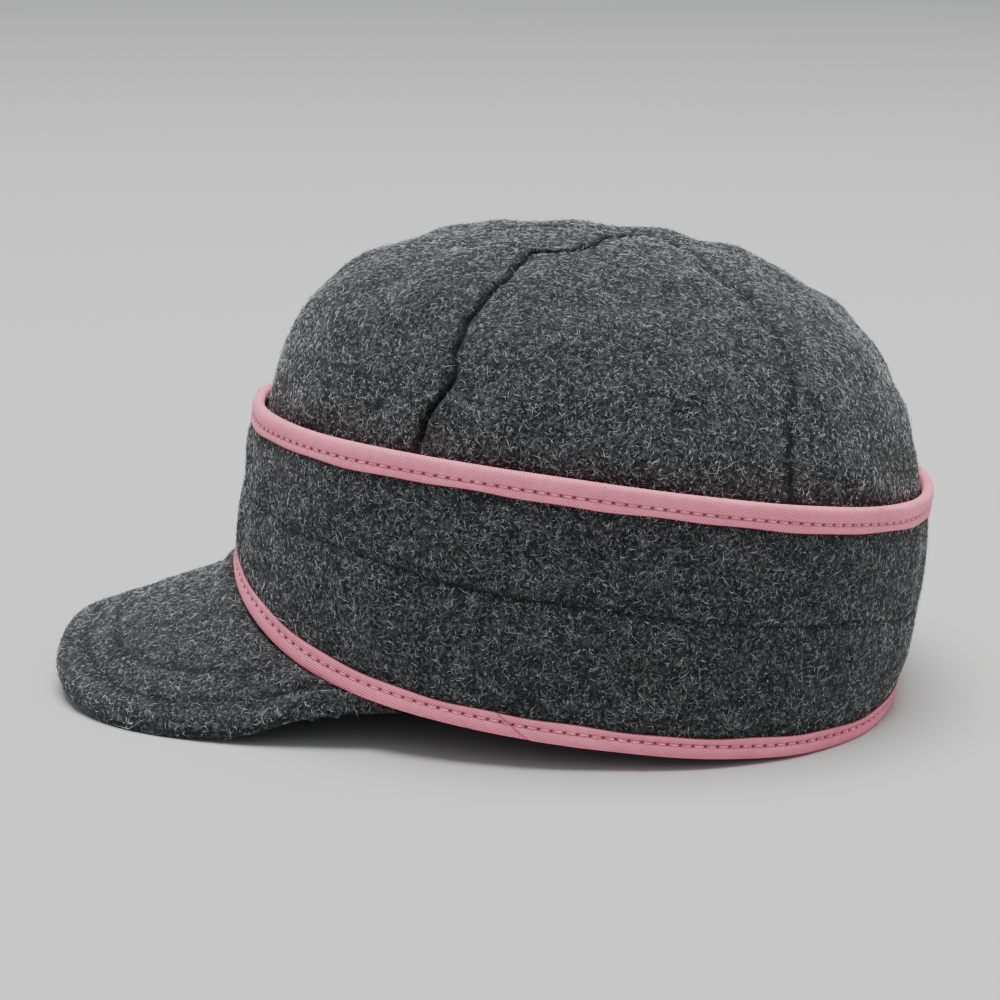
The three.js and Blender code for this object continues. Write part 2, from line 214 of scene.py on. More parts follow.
def length_value(name, description, default, low, high):
    return bpy.props.FloatProperty(
        name=name, description=description, unit="LENGTH", precision=6,
        default=default * MM, min=low * MM, max=high * MM)


def power_value(name, description, default):
    return bpy.props.FloatProperty(name=name, description=description, unit="POWER", default=default, min=0)


class WoolLook(bpy.types.PropertyGroup):
    """The wool cloth and its fibres."""
    dark: colour_value("Dark", "Darkest fibres of the wool", (0.003, 0.0033, 0.004))
    middle: colour_value("Middle", "Most fibres of the wool", (0.0155, 0.017, 0.019))
    light: colour_value("Light", "Light fibres of the wool", (0.78, 0.795, 0.8))
    fibre_length: length_value("Fibre length", "Length of a usual fibre of the cloth", 1.8, 0.5, 12)
    fibre_width: length_value("Fibre width", "Thickness of a fibre at its middle", 0.135, 0.02, 0.5)
    fibres: bpy.props.FloatProperty(
        name="Fibres", description="Fibres on each square millimetre of cloth", default=1.3, min=0, max=2)


class TapeLook(bpy.types.PropertyGroup):
    """The cotton tapes and the thread that holds them."""
    cotton: colour_value("Cotton", "Colour of the tape", (0.93, 0.255, 0.36))
    thread: colour_value("Thread", "Colour of the tape's stitches", (0.93, 0.28, 0.38))
    # Painted shade: the darkness of the needle holes and the tapes' shadow
    hole_shade: colour_value("Hole Shade", "Colour of the needle holes and of the tapes' shadow", (0.022, 0.006, 0.008))
    dark_thread: colour_value("Dark thread", "Colour of the stitches in the wool", (0.006, 0.007, 0.009))
    pitch: length_value("Stitch pitch", "From one stitch to the next", 3.75, 1, 8)


class StageLook(bpy.types.PropertyGroup):
    """The floor, the light and the camera."""
    floor: colour_value("Floor", "Colour of the floor", (0.5, 0.5, 0.492))
    overhead: power_value("Overhead light", "Power of the soft light above", 166)
    side: power_value("Side light", "Power of the soft light behind the cap, on the right", 4)
    sky: bpy.props.FloatProperty(
        name="Ambient light", description="Strength of the light from all round", default=0.45, min=0)
    near_side: bpy.props.FloatProperty(
        name="Near side", description="How much stronger the ambient light is on the camera's side",
        default=1.6, min=0, max=4)
    lens: bpy.props.FloatProperty(
        name="Lens", description="Focal length of the camera in millimetres", default=101.4, min=20)


# Shape of the cap, in its own level frame

def ease(start, stop, value):
    share = np.clip((value - start) / (stop - start), 0, 1)
    return share * share * (3 - 2 * share)


def mix(low, high, share):
    return low + (high - low) * share


def signed_power(value, power):
    return np.sign(value) * np.abs(value) ** power


def hump(away, wide):
    """1 where away is 0, falling off smoothly to both sides over a width."""
    return np.exp(-(away / wide) ** 2)


def between(table, value):
    """A smooth value between the rows of a table of pairs."""
    places, values = np.array(table, float).T
    steps = np.arange(len(places))
    place = np.interp(value, places, steps)
    whole = np.floor(place)
    return np.interp(whole + ease(0, 1, place - whole), steps, values)


def wave_sum(waves, degrees):
    return sum(mm * np.cos(count * np.radians(degrees)) for count, mm in waves.items())


def from_front(degrees):
    """How many degrees to either side of the front a place is."""
    return np.abs((degrees + 180) % 360 - 180)


def front_drop(degrees):
    """How much lower the lower tape stands at the two sides of the front."""
    return FRONT_DROP["mm"] * hump(from_front(degrees) - FRONT_DROP["at"], FRONT_DROP["wide"])


def lower_edge(degrees):
    return wave_sum(LOWER_EDGE, degrees) - front_drop(degrees)


def upper_edge(degrees):
    left = np.sin(np.radians(degrees)) - RIGHT_DROP["from"]
    right = (1 - left / np.hypot(left, RIGHT_DROP["rounding"])) / 2
    return wave_sum(UPPER_EDGE, degrees) - RIGHT_DROP["mm"] * right


def lower_tape(degrees):
    """How tall the lower tape is."""
    return LOWER_TAPE_HEIGHT + front_drop(degrees)


def upper_tape(degrees):
    """How tall the upper tape is."""
    return np.full_like(degrees, UPPER_TAPE_HEIGHT, dtype=float)


def folds_at(folds, degrees, rise):
    total = 0
    for at, middle, wide, tall, lean, out in folds:
        turn = (degrees - at - lean * (rise - middle) + 540) % 360 - 180
        total = total + out * np.exp(-(turn / wide) ** 2 - ((rise - middle) / tall) ** 2)
    return total


def oval(degrees, height, inset):
    """Points of the band's oval, some way in from its outer face. 0 degrees is the front."""
    angle = np.radians(degrees)
    sine = signed_power(np.sin(angle), 2 / OVAL_POWER)
    cosine = signed_power(np.cos(angle), 2 / OVAL_POWER)
    scale = 1 - BAND_LEAN * (height - BAND_MIDDLE) / BAND_HEIGHT
    x = (HALF_WIDTH - inset) * sine * (1 - FRONT_TAPER * np.cos(angle)) * scale
    y = -(HALF_LENGTH - inset) * cosine * scale
    return np.stack(np.broadcast_arrays(x, y, height), -1).astype(float)


def ripple(points, height, size, seed):
    """A smooth, seeded unevenness of about the given height that changes over the given size."""
    rng = np.random.default_rng(seed)
    total = 0
    waves = 9
    for _ in range(waves):
        way = rng.normal(size=3)
        way *= 2 * math.pi / (size * rng.uniform(0.7, 1.5) * np.linalg.norm(way))
        total = total + np.sin(points @ way + rng.uniform(0, 2 * math.pi))
    return height * (total / math.sqrt(waves))


def band_point(degrees, height, inset):
    low = lower_edge(degrees)
    share = (height - low) / (upper_edge(degrees) - low)
    return oval(degrees, height, inset - folds_at(BAND_FOLDS, degrees, share))


def seam_angle(seam, rise):
    return seam.foot + seam.share * between(seam.sway, rise)


def crown_point(degrees, rise, out):
    """Points of the crown. The rise is below 0 on the wall, 0 at the shoulder and 1 at the top."""
    climb = np.radians(90 * np.maximum(rise, 0))
    spread = np.cos(climb) ** (2 / DOME_POWER)
    lift = np.sin(climb) ** (2 / DOME_POWER)
    height = np.where(rise < 0, SHOULDER * (1 + rise), mix(SHOULDER, CROWN_HEIGHT, lift))
    point = oval(degrees, np.minimum(height, SHOULDER), CROWN_INSET)
    drift = (1 - spread) ** 2
    angle = np.radians(degrees)
    outward = np.stack([np.sin(angle) * np.cos(climb), -np.cos(angle) * np.cos(climb), np.sin(climb)], -1)
    point[..., 0] = point[..., 0] * spread + TOP_X * drift
    point[..., 1] = point[..., 1] * spread + TOP_Y * drift
    point[..., 2] = height
    tape = upper_edge(degrees)
    shown = ease(tape - 1, tape + CROWN_OPENS, height)
    fade = ease(1, 0.9, rise)
    soft = ripple(point, *CROWN_RIPPLE) * ease(1, 0.85, rise)
    folds = (folds_at(CROWN_FOLDS, degrees, rise) * fade + soft + out) * shown
    return point + outward * folds[..., None]


def visor_thickness(column):
    return mix(VISOR_THICKNESS, VISOR_END_THICKNESS, np.abs(column) ** 5)


def visor_sag(column):
    """How far the visor's free edge hangs at each side of the front."""
    return VISOR_SAG["mm"] * hump(np.abs(column) - VISOR_SAG["at"], VISOR_SAG["wide"])


def visor_plan(column, share):
    """Plan places of the visor between its root and its free edge, for a column from -1 to 1."""
    root = oval(column * VISOR_HALF_ANGLE, 0, VISOR_ROOT_INSET)
    end = oval(VISOR_HALF_ANGLE, 0, VISOR_END_INSET)
    turn = column * math.pi / 2
    edge_x = end[0] * signed_power(np.sin(turn), 2 / VISOR_SQUARENESS)
    front = -(HALF_LENGTH + VISOR_REACH)
    edge_y = mix(end[1], front, np.abs(np.cos(turn)) ** (2 / VISOR_SQUARENESS))
    across = np.hypot(edge_x - root[..., 0], edge_y - root[..., 1])
    return mix(root[..., 0], edge_x, share), mix(root[..., 1], edge_y, share), across


def coarse_visor_face(column, share):
    """The visor's upper face, with the way from its root to its edge as a fourth number."""
    x, y, across = visor_plan(column, share)
    degrees = np.degrees(np.arctan2(x / HALF_WIDTH, -y / HALF_LENGTH))
    face = oval(degrees, 0, 0)
    out = np.hypot(x, y) - np.hypot(face[..., 0], face[..., 1])
    drop = VISOR_BEND_RADIUS - np.sqrt(VISOR_BEND_RADIUS**2 - x * x)
    free = VISOR_LEVEL + VISOR_SLOPE * (y + HALF_LENGTH) - drop + visor_thickness(column) / 2
    free = free - share * visor_sag(column)
    sewn = lower_edge(degrees) - 2 * GAP
    reach = np.where(sewn > free, ROOT_FALLS_OVER, ROOT_RISES_OVER)
    height = mix(sewn, free, ease(1, reach, out))
    return np.stack(np.broadcast_arrays(x, y, height, across), -1)


def visor_face(even, share):
    """The visor's upper face, smooth between a few columns. even runs from -1 to 1."""
    place = (even + 1) / 2 * COARSE_COLUMNS
    low = np.clip(np.floor(place), 0, COARSE_COLUMNS - 1)
    part = (place - low)[..., None]
    before, first, second, after = (
        coarse_visor_face(column_at(np.clip(low + step, 0, COARSE_COLUMNS) * 2 / COARSE_COLUMNS - 1), share)
        for step in (-1, 0, 1, 2))
    bend = 2 * before - 5 * first + 4 * second - after
    twist = 3 * first - before - 3 * second + after
    return first + part / 2 * (second - before + part * (bend + part * twist))


def column_at(even):
    return signed_power(even, COLUMN_POWER)


def crown_rim(degrees):
    turn = from_front(degrees)
    over_visor = coarse_visor_face(np.minimum(turn / VISOR_HALF_ANGLE, 1), np.zeros_like(turn))[..., 2]
    over_edge = lower_edge(turn) + RIM_ABOVE_EDGE
    return mix(over_visor + 2 * GAP, over_edge, ease(VISOR_HALF_ANGLE + 2, VISOR_HALF_ANGLE + 12, turn))


def resting_lean():
    """The lean and floor height at which the visor and the back of the band reach the table."""
    column = np.linspace(0, 1, 81)
    visor = coarse_visor_face(column, np.ones_like(column))[..., :3]
    visor[:, 2] -= visor_thickness(column) - SETTLE
    degrees = np.linspace(90, 180, 81)
    band = oval(degrees, lower_edge(degrees), 0)
    low, high = 0, 0.4
    for _ in range(40):
        lean = (low + high) / 2
        up = np.array([0, -math.sin(lean), math.cos(lean)])
        if (visor @ up).min() < (band @ up).min():
            low = lean
        else:
            high = lean
    return low, (visor @ up).min() + SETTLE


LEAN, FLOOR = resting_lean()
LAY_BACK = np.array([
    [1, 0, 0],
    [0, math.cos(LEAN), math.sin(LEAN)],
    [0, -math.sin(LEAN), math.cos(LEAN)],
])


def cap_centre():
    """Where the level frame's origin comes to lie, found from the back of the upper tape."""
    degrees = np.linspace(150, 210, 121)
    back = band_point(degrees, upper_edge(degrees) - 0.9, np.zeros_like(degrees)) @ LAY_BACK.T
    return np.array([0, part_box("band_top_binding")[1].y / MM - back[:, 1].max(), -FLOOR])


CENTRE = cap_centre()


def on_table(points):
    """Level millimetres to the frame's metres, flattened where the cloth stands on the table."""
    placed = points @ LAY_BACK.T + CENTRE
    placed[..., 2] = np.maximum(placed[..., 2], 0)
    return placed * MM


# Mesh helpers

# The finished pieces, by the node that each stands for
MADE = {}


def deselect_all():
    bpy.ops.object.select_all(action="DESELECT")


def add_cloth(name, columns, rows, place):
    """A grid shaped by place(u, v), which gives for u and v from 0 to 1 its points, in level millimetres,
    and the values that its material reads."""
    deselect_all()
    bpy.ops.mesh.primitive_grid_add(x_subdivisions=columns, y_subdivisions=rows, size=1)
    piece = bpy.context.object
    piece.name = name
    piece.data.name = name
    flat = read_points(piece)
    points, values = place(flat[:, 0] + 0.5, flat[:, 1] + 0.5)
    write_points(piece, on_table(points))
    write_values(piece, values)
    return piece


def read_points(piece):
    flat = np.empty(len(piece.data.vertices) * 3)
    piece.data.vertices.foreach_get("co", flat)
    return flat.reshape(-1, 3)


def write_points(piece, points):
    piece.data.vertices.foreach_set("co", np.ascontiguousarray(points, float).ravel())
    piece.data.update()


def write_values(piece, values):
    """Keeps named values for each point of a mesh, for its material to read."""
    for name, numbers in values.items():
        layer = piece.data.attributes.new(name, "FLOAT", "POINT")
        layer.data.foreach_set("value", np.ascontiguousarray(numbers, float))


def in_edit_mode(piece, *steps):
    """Selects all of a piece in edit mode and runs mesh operators on it, each with its own values."""
    deselect_all()
    bpy.context.view_layer.objects.active = piece
    piece.select_set(True)
    bpy.ops.object.mode_set(mode="EDIT")
    for operator, values in steps:
        bpy.ops.mesh.select_all(action="SELECT")
        operator(**values)
    bpy.ops.object.mode_set(mode="OBJECT")


def close_ring(piece):
    in_edit_mode(piece, (bpy.ops.mesh.remove_doubles, {"threshold": 0.002 * MM}))


def thicken(piece, thickness):
    """Gives a sheet its thickness, inwards from its face."""
    solid = piece.modifiers.new("thickness", "SOLIDIFY")
    solid.thickness = thickness * MM
    solid.offset = -1
    bpy.context.view_layer.objects.active = piece
    bpy.ops.object.modifier_apply(modifier=solid.name)


def finish_piece(piece, material, slot, *nodes):
    """Smooths and colours a piece, and lets it stand for its node."""
    for face in piece.data.polygons:
        face.use_smooth = True
    deselect_all()
    bpy.context.view_layer.objects.active = piece
    piece.select_set(True)
    bpy.ops.object.shade_smooth_by_angle(angle=math.radians(50))
    piece.data.materials.clear()
    piece.data.materials.append(material)
    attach(piece, "root")
    if nodes:
        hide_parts(*nodes)
        MADE[nodes[0]] = piece


# Materials

class Wire:
    """A socket in a node tree. Sums and products with it add the nodes that work them out."""
    def __init__(self, socket):
        self.socket = socket
        self.tree = socket.id_data

    def __add__(self, other):
        return maths("ADD", self, other)

    def __sub__(self, other):
        return maths("SUBTRACT", self, other)

    def __mul__(self, other):
        return maths("MULTIPLY", self, other)

    def __truediv__(self, other):
        return maths("DIVIDE", self, other)

    def __abs__(self):
        return maths("ABSOLUTE", self)


def join(value, socket):
    """Gives an input a wire or an even value."""
    if isinstance(value, Wire):
        value.tree.links.new(value.socket, socket)
    else:
        socket.default_value = value


def add_node(tree, kind, inputs=None, **values):
    """Adds a node with its own values and its inputs, and gives it back."""
    node = tree.nodes.new(kind)
    for name, value in values.items():
        setattr(node, name, value)
    for key, value in (inputs or {}).items():
        join(value, node.inputs[key])
    return node


def wires(node):
    return [Wire(socket) for socket in node.outputs]


def tree_of(values):
    return next(value.tree for value in values if isinstance(value, Wire))


def maths(operation, *values):
    return wires(add_node(tree_of(values), "ShaderNodeMath", dict(enumerate(values)), operation=operation))[0]


def larger(first, second):
    return maths("MAXIMUM", first, second)


def blend_colours(factor, first, second, how="MIX"):
    values = {"Factor_Float": factor, "A_Color": first, "B_Color": second}
    node = add_node(tree_of(values.values()), "ShaderNodeMix", data_type="RGBA", blend_type=how)
    for socket in node.inputs:
        if socket.identifier in values:
            join(values[socket.identifier], socket)
    return next(Wire(socket) for socket in node.outputs if socket.identifier == "Result_Color")


def remap(value, low, high, to_low=0.0, to_high=1.0):
    values = {"Value": value, "From Min": low, "From Max": high, "To Min": to_low, "To Max": to_high}
    return wires(add_node(value.tree, "ShaderNodeMapRange", values))[0]


def noise(vector, scale, detail=2.0, roughness=0.5, distortion=0.0):
    values = {"Vector": vector, "Scale": scale, "Detail": detail, "Roughness": roughness,
              "Distortion": distortion}
    return Wire(add_node(vector.tree, "ShaderNodeTexNoise", values).outputs["Fac"])


def strands(vector, scale, width):
    """Thin curly lines, where a noise passes its middle value."""
    away = abs(noise(vector, scale, detail=1.0, roughness=0.4, distortion=0.8) - 0.5)
    return remap(away, 0.0, width, 1.0, 0.0)


def bell(value, width):
    """1 where a value is 0, falling off smoothly over a width."""
    share = value / width
    return maths("EXPONENT", share * share * -1.0)


def tinted(colour, tone):
    """A colour made lighter or darker by a grey tone."""
    grey = add_node(tone.tree, "ShaderNodeCombineColor", {0: tone, 1: tone, 2: tone})
    return blend_colours(1.0, colour, wires(grey)[0], "MULTIPLY")


def attribute(tree, name):
    return Wire(add_node(tree, "ShaderNodeAttribute", attribute_name=name).outputs["Fac"])


def object_place(tree):
    return Wire(add_node(tree, "ShaderNodeTexCoord").outputs["Object"])


def shifted(vector, place):
    return wires(add_node(vector.tree, "ShaderNodeVectorMath", {0: vector, 1: place}, operation="ADD"))[0]


def new_group(name, inputs):
    """An empty shader group and the wires of its inputs. None stands for a vector."""
    group = bpy.data.node_groups.new(name, "ShaderNodeTree")
    for label, value in inputs.items():
        kind = "Vector" if value is None else "Color" if isinstance(value, tuple) else "Float"
        socket = group.interface.new_socket(label, in_out="INPUT", socket_type=f"NodeSocket{kind}")
        if value is not None:
            socket.default_value = value
    return group, dict(zip(inputs, wires(group.nodes.new("NodeGroupInput"))))


def end_group(group, colour, roughness, height):
    """Gives a group its three outputs."""
    for label, kind in (("Color", "Color"), ("Roughness", "Float"), ("Height", "Float")):
        group.interface.new_socket(label, in_out="OUTPUT", socket_type=f"NodeSocket{kind}")
    made = group.nodes.new("NodeGroupOutput")
    for place, value in enumerate((colour, roughness, height)):
        join(value, made.inputs[place])
    return group


# Curly fibres drawn on the cloth: where each pattern is taken from, its scale and the width of its lines
STRANDS = (
    ((0, 0, 0), 620.0, 0.07),
    ((0.13, 0.07, 0.29), 1050.0, 0.1),
    ((0.31, 0.23, 0.17), 1500.0, 0.13),
)


def heather_group():
    """Dark wool with curly light fibres. Painted shade darkens it at a seam and beside a tape, given in
    millimetres.
    """
    look = bpy.context.scene.cap_wool
    group, given = new_group("heather wool", {
        "Vector": None,
        "Dark": (*look.dark, 1),
        "Middle": (*look.middle, 1),
        "Light": (*[GROUND_LIGHT * part for part in look.light], 1),
        "Tape Shadow": (*bpy.context.scene.cap_tape.hole_shade, 1),
        "Seam": FAR,
        "Seam Shade": 0.0,
        "Beside Tape": FAR,
    })
    vector = given["Vector"]
    first, second, third = (strands(shifted(vector, place), scale, width) for place, scale, width in STRANDS)
    broken = remap(noise(vector, 700.0, 1.0), 0.42, 0.58)
    mended = remap(noise(shifted(vector, (0.7, 0.2, 0.4)), 900.0, 1.0), 0.42, 0.58)
    lines = larger(larger(first, second) * broken, third * mended)

    # The ground: fine grain, tufts and patches set its tone, and wide clouds its cast
    grain = noise(vector, 2400.0, 2.0, 0.7)
    patches = noise(vector, 210.0, 3.0, 0.6)
    clouds = noise(shifted(vector, (0.5, 0.1, 0.9)), 28.0, 2.0)
    tufts = noise(shifted(vector, (0.9, 0.6, 0.2)), 900.0, 3.0, 0.6)
    ground = tufts * 0.5 + (grain * 0.4 + patches * 0.25)
    colour = blend_colours(remap(ground, 0.51, 0.68), given["Dark"], given["Middle"])
    colour = blend_colours(lines * remap(ground, 0.52, 0.68, 0.0, 0.7), colour, given["Light"])
    cast = blend_colours(clouds, (0.96, 1.0, 1.01, 1), (1.03, 1.0, 0.99, 1))
    colour = blend_colours(1.0, colour, cast, "MULTIPLY")

    # Painted shade in a seam's crease wanders a little, and painted shade darkens the cloth beside a tape
    wander = remap(noise(vector, 700.0, 3.0, 0.7), 0.2, 0.8, -0.75, 0.75)
    crease_shade = bell(given["Seam"] + wander, 1.1) * given["Seam Shade"]
    colour = tinted(colour, remap(crease_shade, 0.0, 0.7, 1.0, 0.02))
    beside = given["Beside Tape"]
    colour = tinted(colour, remap(bell(beside, 2.2), 0.0, 1.0, 1.0, 0.55))
    colour = blend_colours(bell(beside, 0.42), colour, given["Tape Shadow"])
    height = lines * 0.8 + grain + (tufts + patches)
    return end_group(group, colour, remap(grain, 0.3, 0.7, 0.82, 1.0), height)


def cotton_group():
    """Fine twill tape. Tape holds the way along it and the way from its stitches, in millimetres."""
    look = bpy.context.scene.cap_tape
    group, given = new_group("cotton twill", {
        "Tape": None,
        "Vector": None,
        "Cotton": (*look.cotton, 1),
        "Hole Shade": (*look.hole_shade, 1),
        "From Edge": FAR,
        "Lapped": 0.0,
    })
    vector, hole_shade = given["Vector"], given["Hole Shade"]
    along, aside, _ = wires(add_node(group, "ShaderNodeSeparateXYZ", {0: given["Tape"]}))
    away = abs(aside)

    # The twill
    rib = maths("SINE", (along - aside) / RIB_SPACING * (2 * math.pi))
    uneven = noise(vector, 420.0, 3.0, 0.6)
    worn = remap(noise(vector, 60.0, 2.0), 0.3, 0.7, 0.94, 1.05)
    colour = tinted(given["Cotton"], remap(uneven + rib * 0.65, -0.1, 1.1, 0.6, 1.2) * worn)

    # Painted shade beside the stitches, in their needle holes, along the line where the tape's end laps over
    # and along its edges
    colour = blend_colours(bell(away - 0.36, 0.16) * 0.5, colour, hole_shade)
    step = stitch_step()
    turn = maths("FRACT", along / step) - 0.5
    from_hole = maths("SUBTRACT", 0.5, abs(turn)) * step
    hole = bell(from_hole, 0.6) * bell(away, 0.42)
    side = aside * LAP_SLANT + (along - LAP_AT)
    lap = bell(side + 0.25, 0.3) * given["Lapped"]
    dark = larger(larger(hole, lap * 0.75), remap(given["From Edge"], 0.1, 0.5, 1.0, 0.0))
    height = rib * 0.7 + uneven * 0.9
    colour = blend_colours(dark, colour, hole_shade)
    return end_group(group, colour, remap(uneven, 0.3, 0.7, 0.75, 0.92), height)


def new_material(name, roughness, sheen, sheen_tint=(1, 1, 1)):
    """A material with its shader, whose even values stay on the shader's own sockets."""
    material = bpy.data.materials.new(name)
    material.use_nodes = True
    shader = material.node_tree.nodes["Principled BSDF"]
    shader.inputs["Roughness"].default_value = roughness
    shader.inputs["Specular IOR Level"].default_value = 0.25
    shader.inputs["Sheen Weight"].default_value = sheen
    shader.inputs["Sheen Roughness"].default_value = 0.45
    shader.inputs["Sheen Tint"].default_value = (*sheen_tint, 1)
    return material, material.node_tree, shader


def once(name):
    """Has a material made the first time that it is asked for, and the same one given after that."""
    return lambda make: lambda: bpy.data.materials.get(name) or make(name)


def use_group(tree, shader, group, inputs, bump, depth):
    """Feeds a shader from a group, with the group's height as its bump."""
    inputs["Vector"] = object_place(tree)
    colour, roughness, height = wires(add_node(tree, "ShaderNodeGroup", inputs, node_tree=group))
    join(colour, shader.inputs["Base Color"])
    join(roughness, shader.inputs["Roughness"])
    raised = add_node(tree, "ShaderNodeBump", {"Strength": bump, "Distance": depth, "Height": height})
    join(wires(raised)[0], shader.inputs["Normal"])


@once("charcoal wool")
def wool_material(name):
    material, tree, shader = new_material(name, 0.95, 0.1, WOOL_SHEEN)
    inputs = {
        "Seam": attribute(tree, "seam"),
        "Seam Shade": attribute(tree, "seam_shade"),
        "Beside Tape": attribute(tree, "beside_tape"),
    }
    use_group(tree, shader, heather_group(), inputs, 0.8, 0.4 * MM)
    return material


@once("pink cotton")
def cotton_material(name):
    material, tree, shader = new_material(name, 0.85, 0.12, COTTON_SHEEN)
    inputs = {
        "Lapped": attribute(tree, "lapped"),
        "Tape": wires(add_node(tree, "ShaderNodeUVMap", uv_map="tape"))[0],
        "From Edge": attribute(tree, "from_edge"),
    }
    use_group(tree, shader, cotton_group(), inputs, 0.4, 0.12 * MM)
    return material


@once("wool fibre")
def fibre_material(name):
    look = bpy.context.scene.cap_wool
    material, tree, shader = new_material(name, 0.75, 0.3, WOOL_SHEEN)
    ramp = add_node(tree, "ShaderNodeValToRGB", {"Fac": attribute(tree, "tone")})
    ramp.color_ramp.elements[0].color = (*look.dark, 1)
    ramp.color_ramp.elements[1].color = (*look.light, 1)
    for place, colour in ((0.35, look.middle), (0.65, [part * 0.3 for part in look.light])):
        ramp.color_ramp.elements.new(place).color = (*colour, 1)
    join(wires(ramp)[0], shader.inputs["Base Color"])
    return material


def thread_material(name, colour):
    material, tree, shader = new_material(name, 0.7, 0.1)
    tone = remap(noise(object_place(tree), 900.0, 1.0), 0.3, 0.7, 0.6, 1.4)
    join(tinted((*colour, 1), tone), shader.inputs["Base Color"])
    return material


# Crown

PANEL_COLUMNS = 80
WALL_ROWS = 8
DOME_ROWS = 88

# In millimetres from a seam, where the cloth beside it stands highest, and how wide that ridge is and its
# crease. Near the top, ridge and crease fade where a panel is narrower than the last of these.
RIDGE_AT = 2.6
RIDGE_WIDE = 2.0
CREASE_WIDE = 0.8
NARROW = 20

# How much closer a panel's columns stand beside its seams than in its middle
CLOSER_COLUMNS = 0.7

# The share of the way from the shoulder to the top at which the panels end
TOP_RISE = math.acos((TOP_HOLE / HALF_LENGTH) ** (DOME_POWER / 2)) * 2 / math.pi


def seam_profile(away, raised, seam):
    """How far the cloth stands out at a distance from a seam, in millimetres."""
    return raised * hump(away - RIDGE_AT, RIDGE_WIDE) - seam.deep * hump(away, CREASE_WIDE)


def crown_panel(name, first, second, wool):
    def place(u, v):
        across = mix(u, 0.5 - 0.5 * np.cos(math.pi * u), CLOSER_COLUMNS)
        low = WALL_ROWS / (WALL_ROWS + DOME_ROWS)
        dome = np.clip((v - low) / (1 - low), 0, 1) * TOP_RISE
        spread = np.cos(np.radians(90) * dome) ** (2 / DOME_POWER)
        start = seam_angle(first, dome)
        stop = seam_angle(second, dome) + (360 if second.foot < first.foot else 0)
        degrees = mix(start, stop, across)
        rise = np.where(v < low, mix(crown_rim(degrees) / SHOULDER - 1, 0, v / low), dome)
        middle = (HALF_WIDTH + HALF_LENGTH) / 2 * spread
        width = np.radians(stop - start) * middle
        small = np.minimum(1, width / NARROW)
        full = PANEL_FULLNESS * (np.abs(np.sin(math.pi * across)) ** 0.7 - 0.5) * small
        left = np.maximum(across, 0) * width
        right = np.maximum(1 - across, 0) * width
        seams = seam_profile(left, first.after, first) + seam_profile(right, second.before, second)
        point = crown_point(degrees, rise, full + small * seams)
        # Distances to a seam and to the tape, and the strength of the painted shade in the seam's crease
        return point, {
            "seam": np.minimum(left, right),
            "seam_shade": np.where(left < right, *(between(seam.dark, dome) for seam in (first, second))),
            "beside_tape": np.maximum(point[:, 2] - upper_edge(degrees), 0),
        }

    panel = add_cloth(name, PANEL_COLUMNS, WALL_ROWS + DOME_ROWS, place)
    thicken(panel, WOOL_THICKNESS)
    finish_piece(panel, wool, "wool", name)


# Band and tapes

BAND_COLUMNS = 720
BAND_ROWS = 60

# The stitching along the middle of the band, in shares of its height: it stands higher at the sides of
# the front, and falls towards the back
MIDDLE_LINE = {"share": 0.53, "higher": 0.035, "at": 52, "wide": 14, "fall": 0.07, "from_to": (138, 162)}

# How strong the painted shade along that stitching is, and how much stronger at the middle of each side
MIDDLE_SHADE = {"low": 0.12, "high": 0.5, "at": 80, "wide": 17}

# The tapes hold the band in at its edges. Their hold eases off between these shares of its height from
# an edge, and the rest of its face lies in by the given millimetres.
HELD_SHARES = (0.085, 0.17)
FACE_INSET = 0.2

# How far the stitching along the middle draws the band in, and how wide, in millimetres
MIDDLE_DRAWS = ((0.5, 0.8), (0.35, 4))


def middle_line(degrees):
    """How far up the band its middle stitching runs."""
    turn = from_front(degrees)
    higher = MIDDLE_LINE["higher"] * hump(turn - MIDDLE_LINE["at"], MIDDLE_LINE["wide"])
    return MIDDLE_LINE["share"] + higher - MIDDLE_LINE["fall"] * ease(*MIDDLE_LINE["from_to"], turn)


def band_face(degrees, share):
    """Points of the band's outer face, and how far each is from the stitching and from the tapes."""
    low = lower_edge(degrees) + TAPE_ROOM
    high = upper_edge(degrees) - TAPE_ROOM
    side = np.minimum(share, 1 - share)
    held = 1 - ease(*HELD_SHARES, side)
    away = (share - middle_line(degrees)) * (high - low)
    stitched = sum(deep * hump(away, wide) for deep, wide in MIDDLE_DRAWS)
    inset = mix(FACE_INSET, TAPE_ROOM, held) + stitched
    height = mix(low, high, share)
    point = band_point(degrees, height, inset)
    soft = ripple(point, *BAND_RIPPLE) * (1 - held)
    way = np.radians(degrees)
    outward = np.stack([np.sin(way), -np.cos(way), np.zeros_like(way)], -1)
    over = height - lower_edge(degrees) - lower_tape(degrees)
    under = upper_edge(degrees) - upper_tape(degrees) - height
    return point + outward * soft[..., None], np.abs(away), np.maximum(np.minimum(over, under), 0)


def ear_band(wool):
    def place(u, v):
        degrees = u * 360
        middle = middle_line(degrees)
        way = signed_power(2 * v - 1, 1.35)
        share = middle + way * np.where(way > 0, 1 - middle, middle)
        point, seam, beside = band_face(degrees, share)
        # How strong the painted shade in the crease along the middle stitching is
        at_side = hump(from_front(degrees) - MIDDLE_SHADE["at"], MIDDLE_SHADE["wide"])
        depth = mix(MIDDLE_SHADE["low"], MIDDLE_SHADE["high"], at_side)
        return point, {"seam": seam, "seam_shade": depth, "beside_tape": beside}

    band = add_cloth("ear_band", BAND_COLUMNS, BAND_ROWS, place)
    close_ring(band)
    thicken(band, HELD_WOOL)
    finish_piece(band, wool, "wool", "ear_band")


TAPE_COLUMNS = 1440
TAPE_ROWS = 26
TAPE_CURL = 0.45

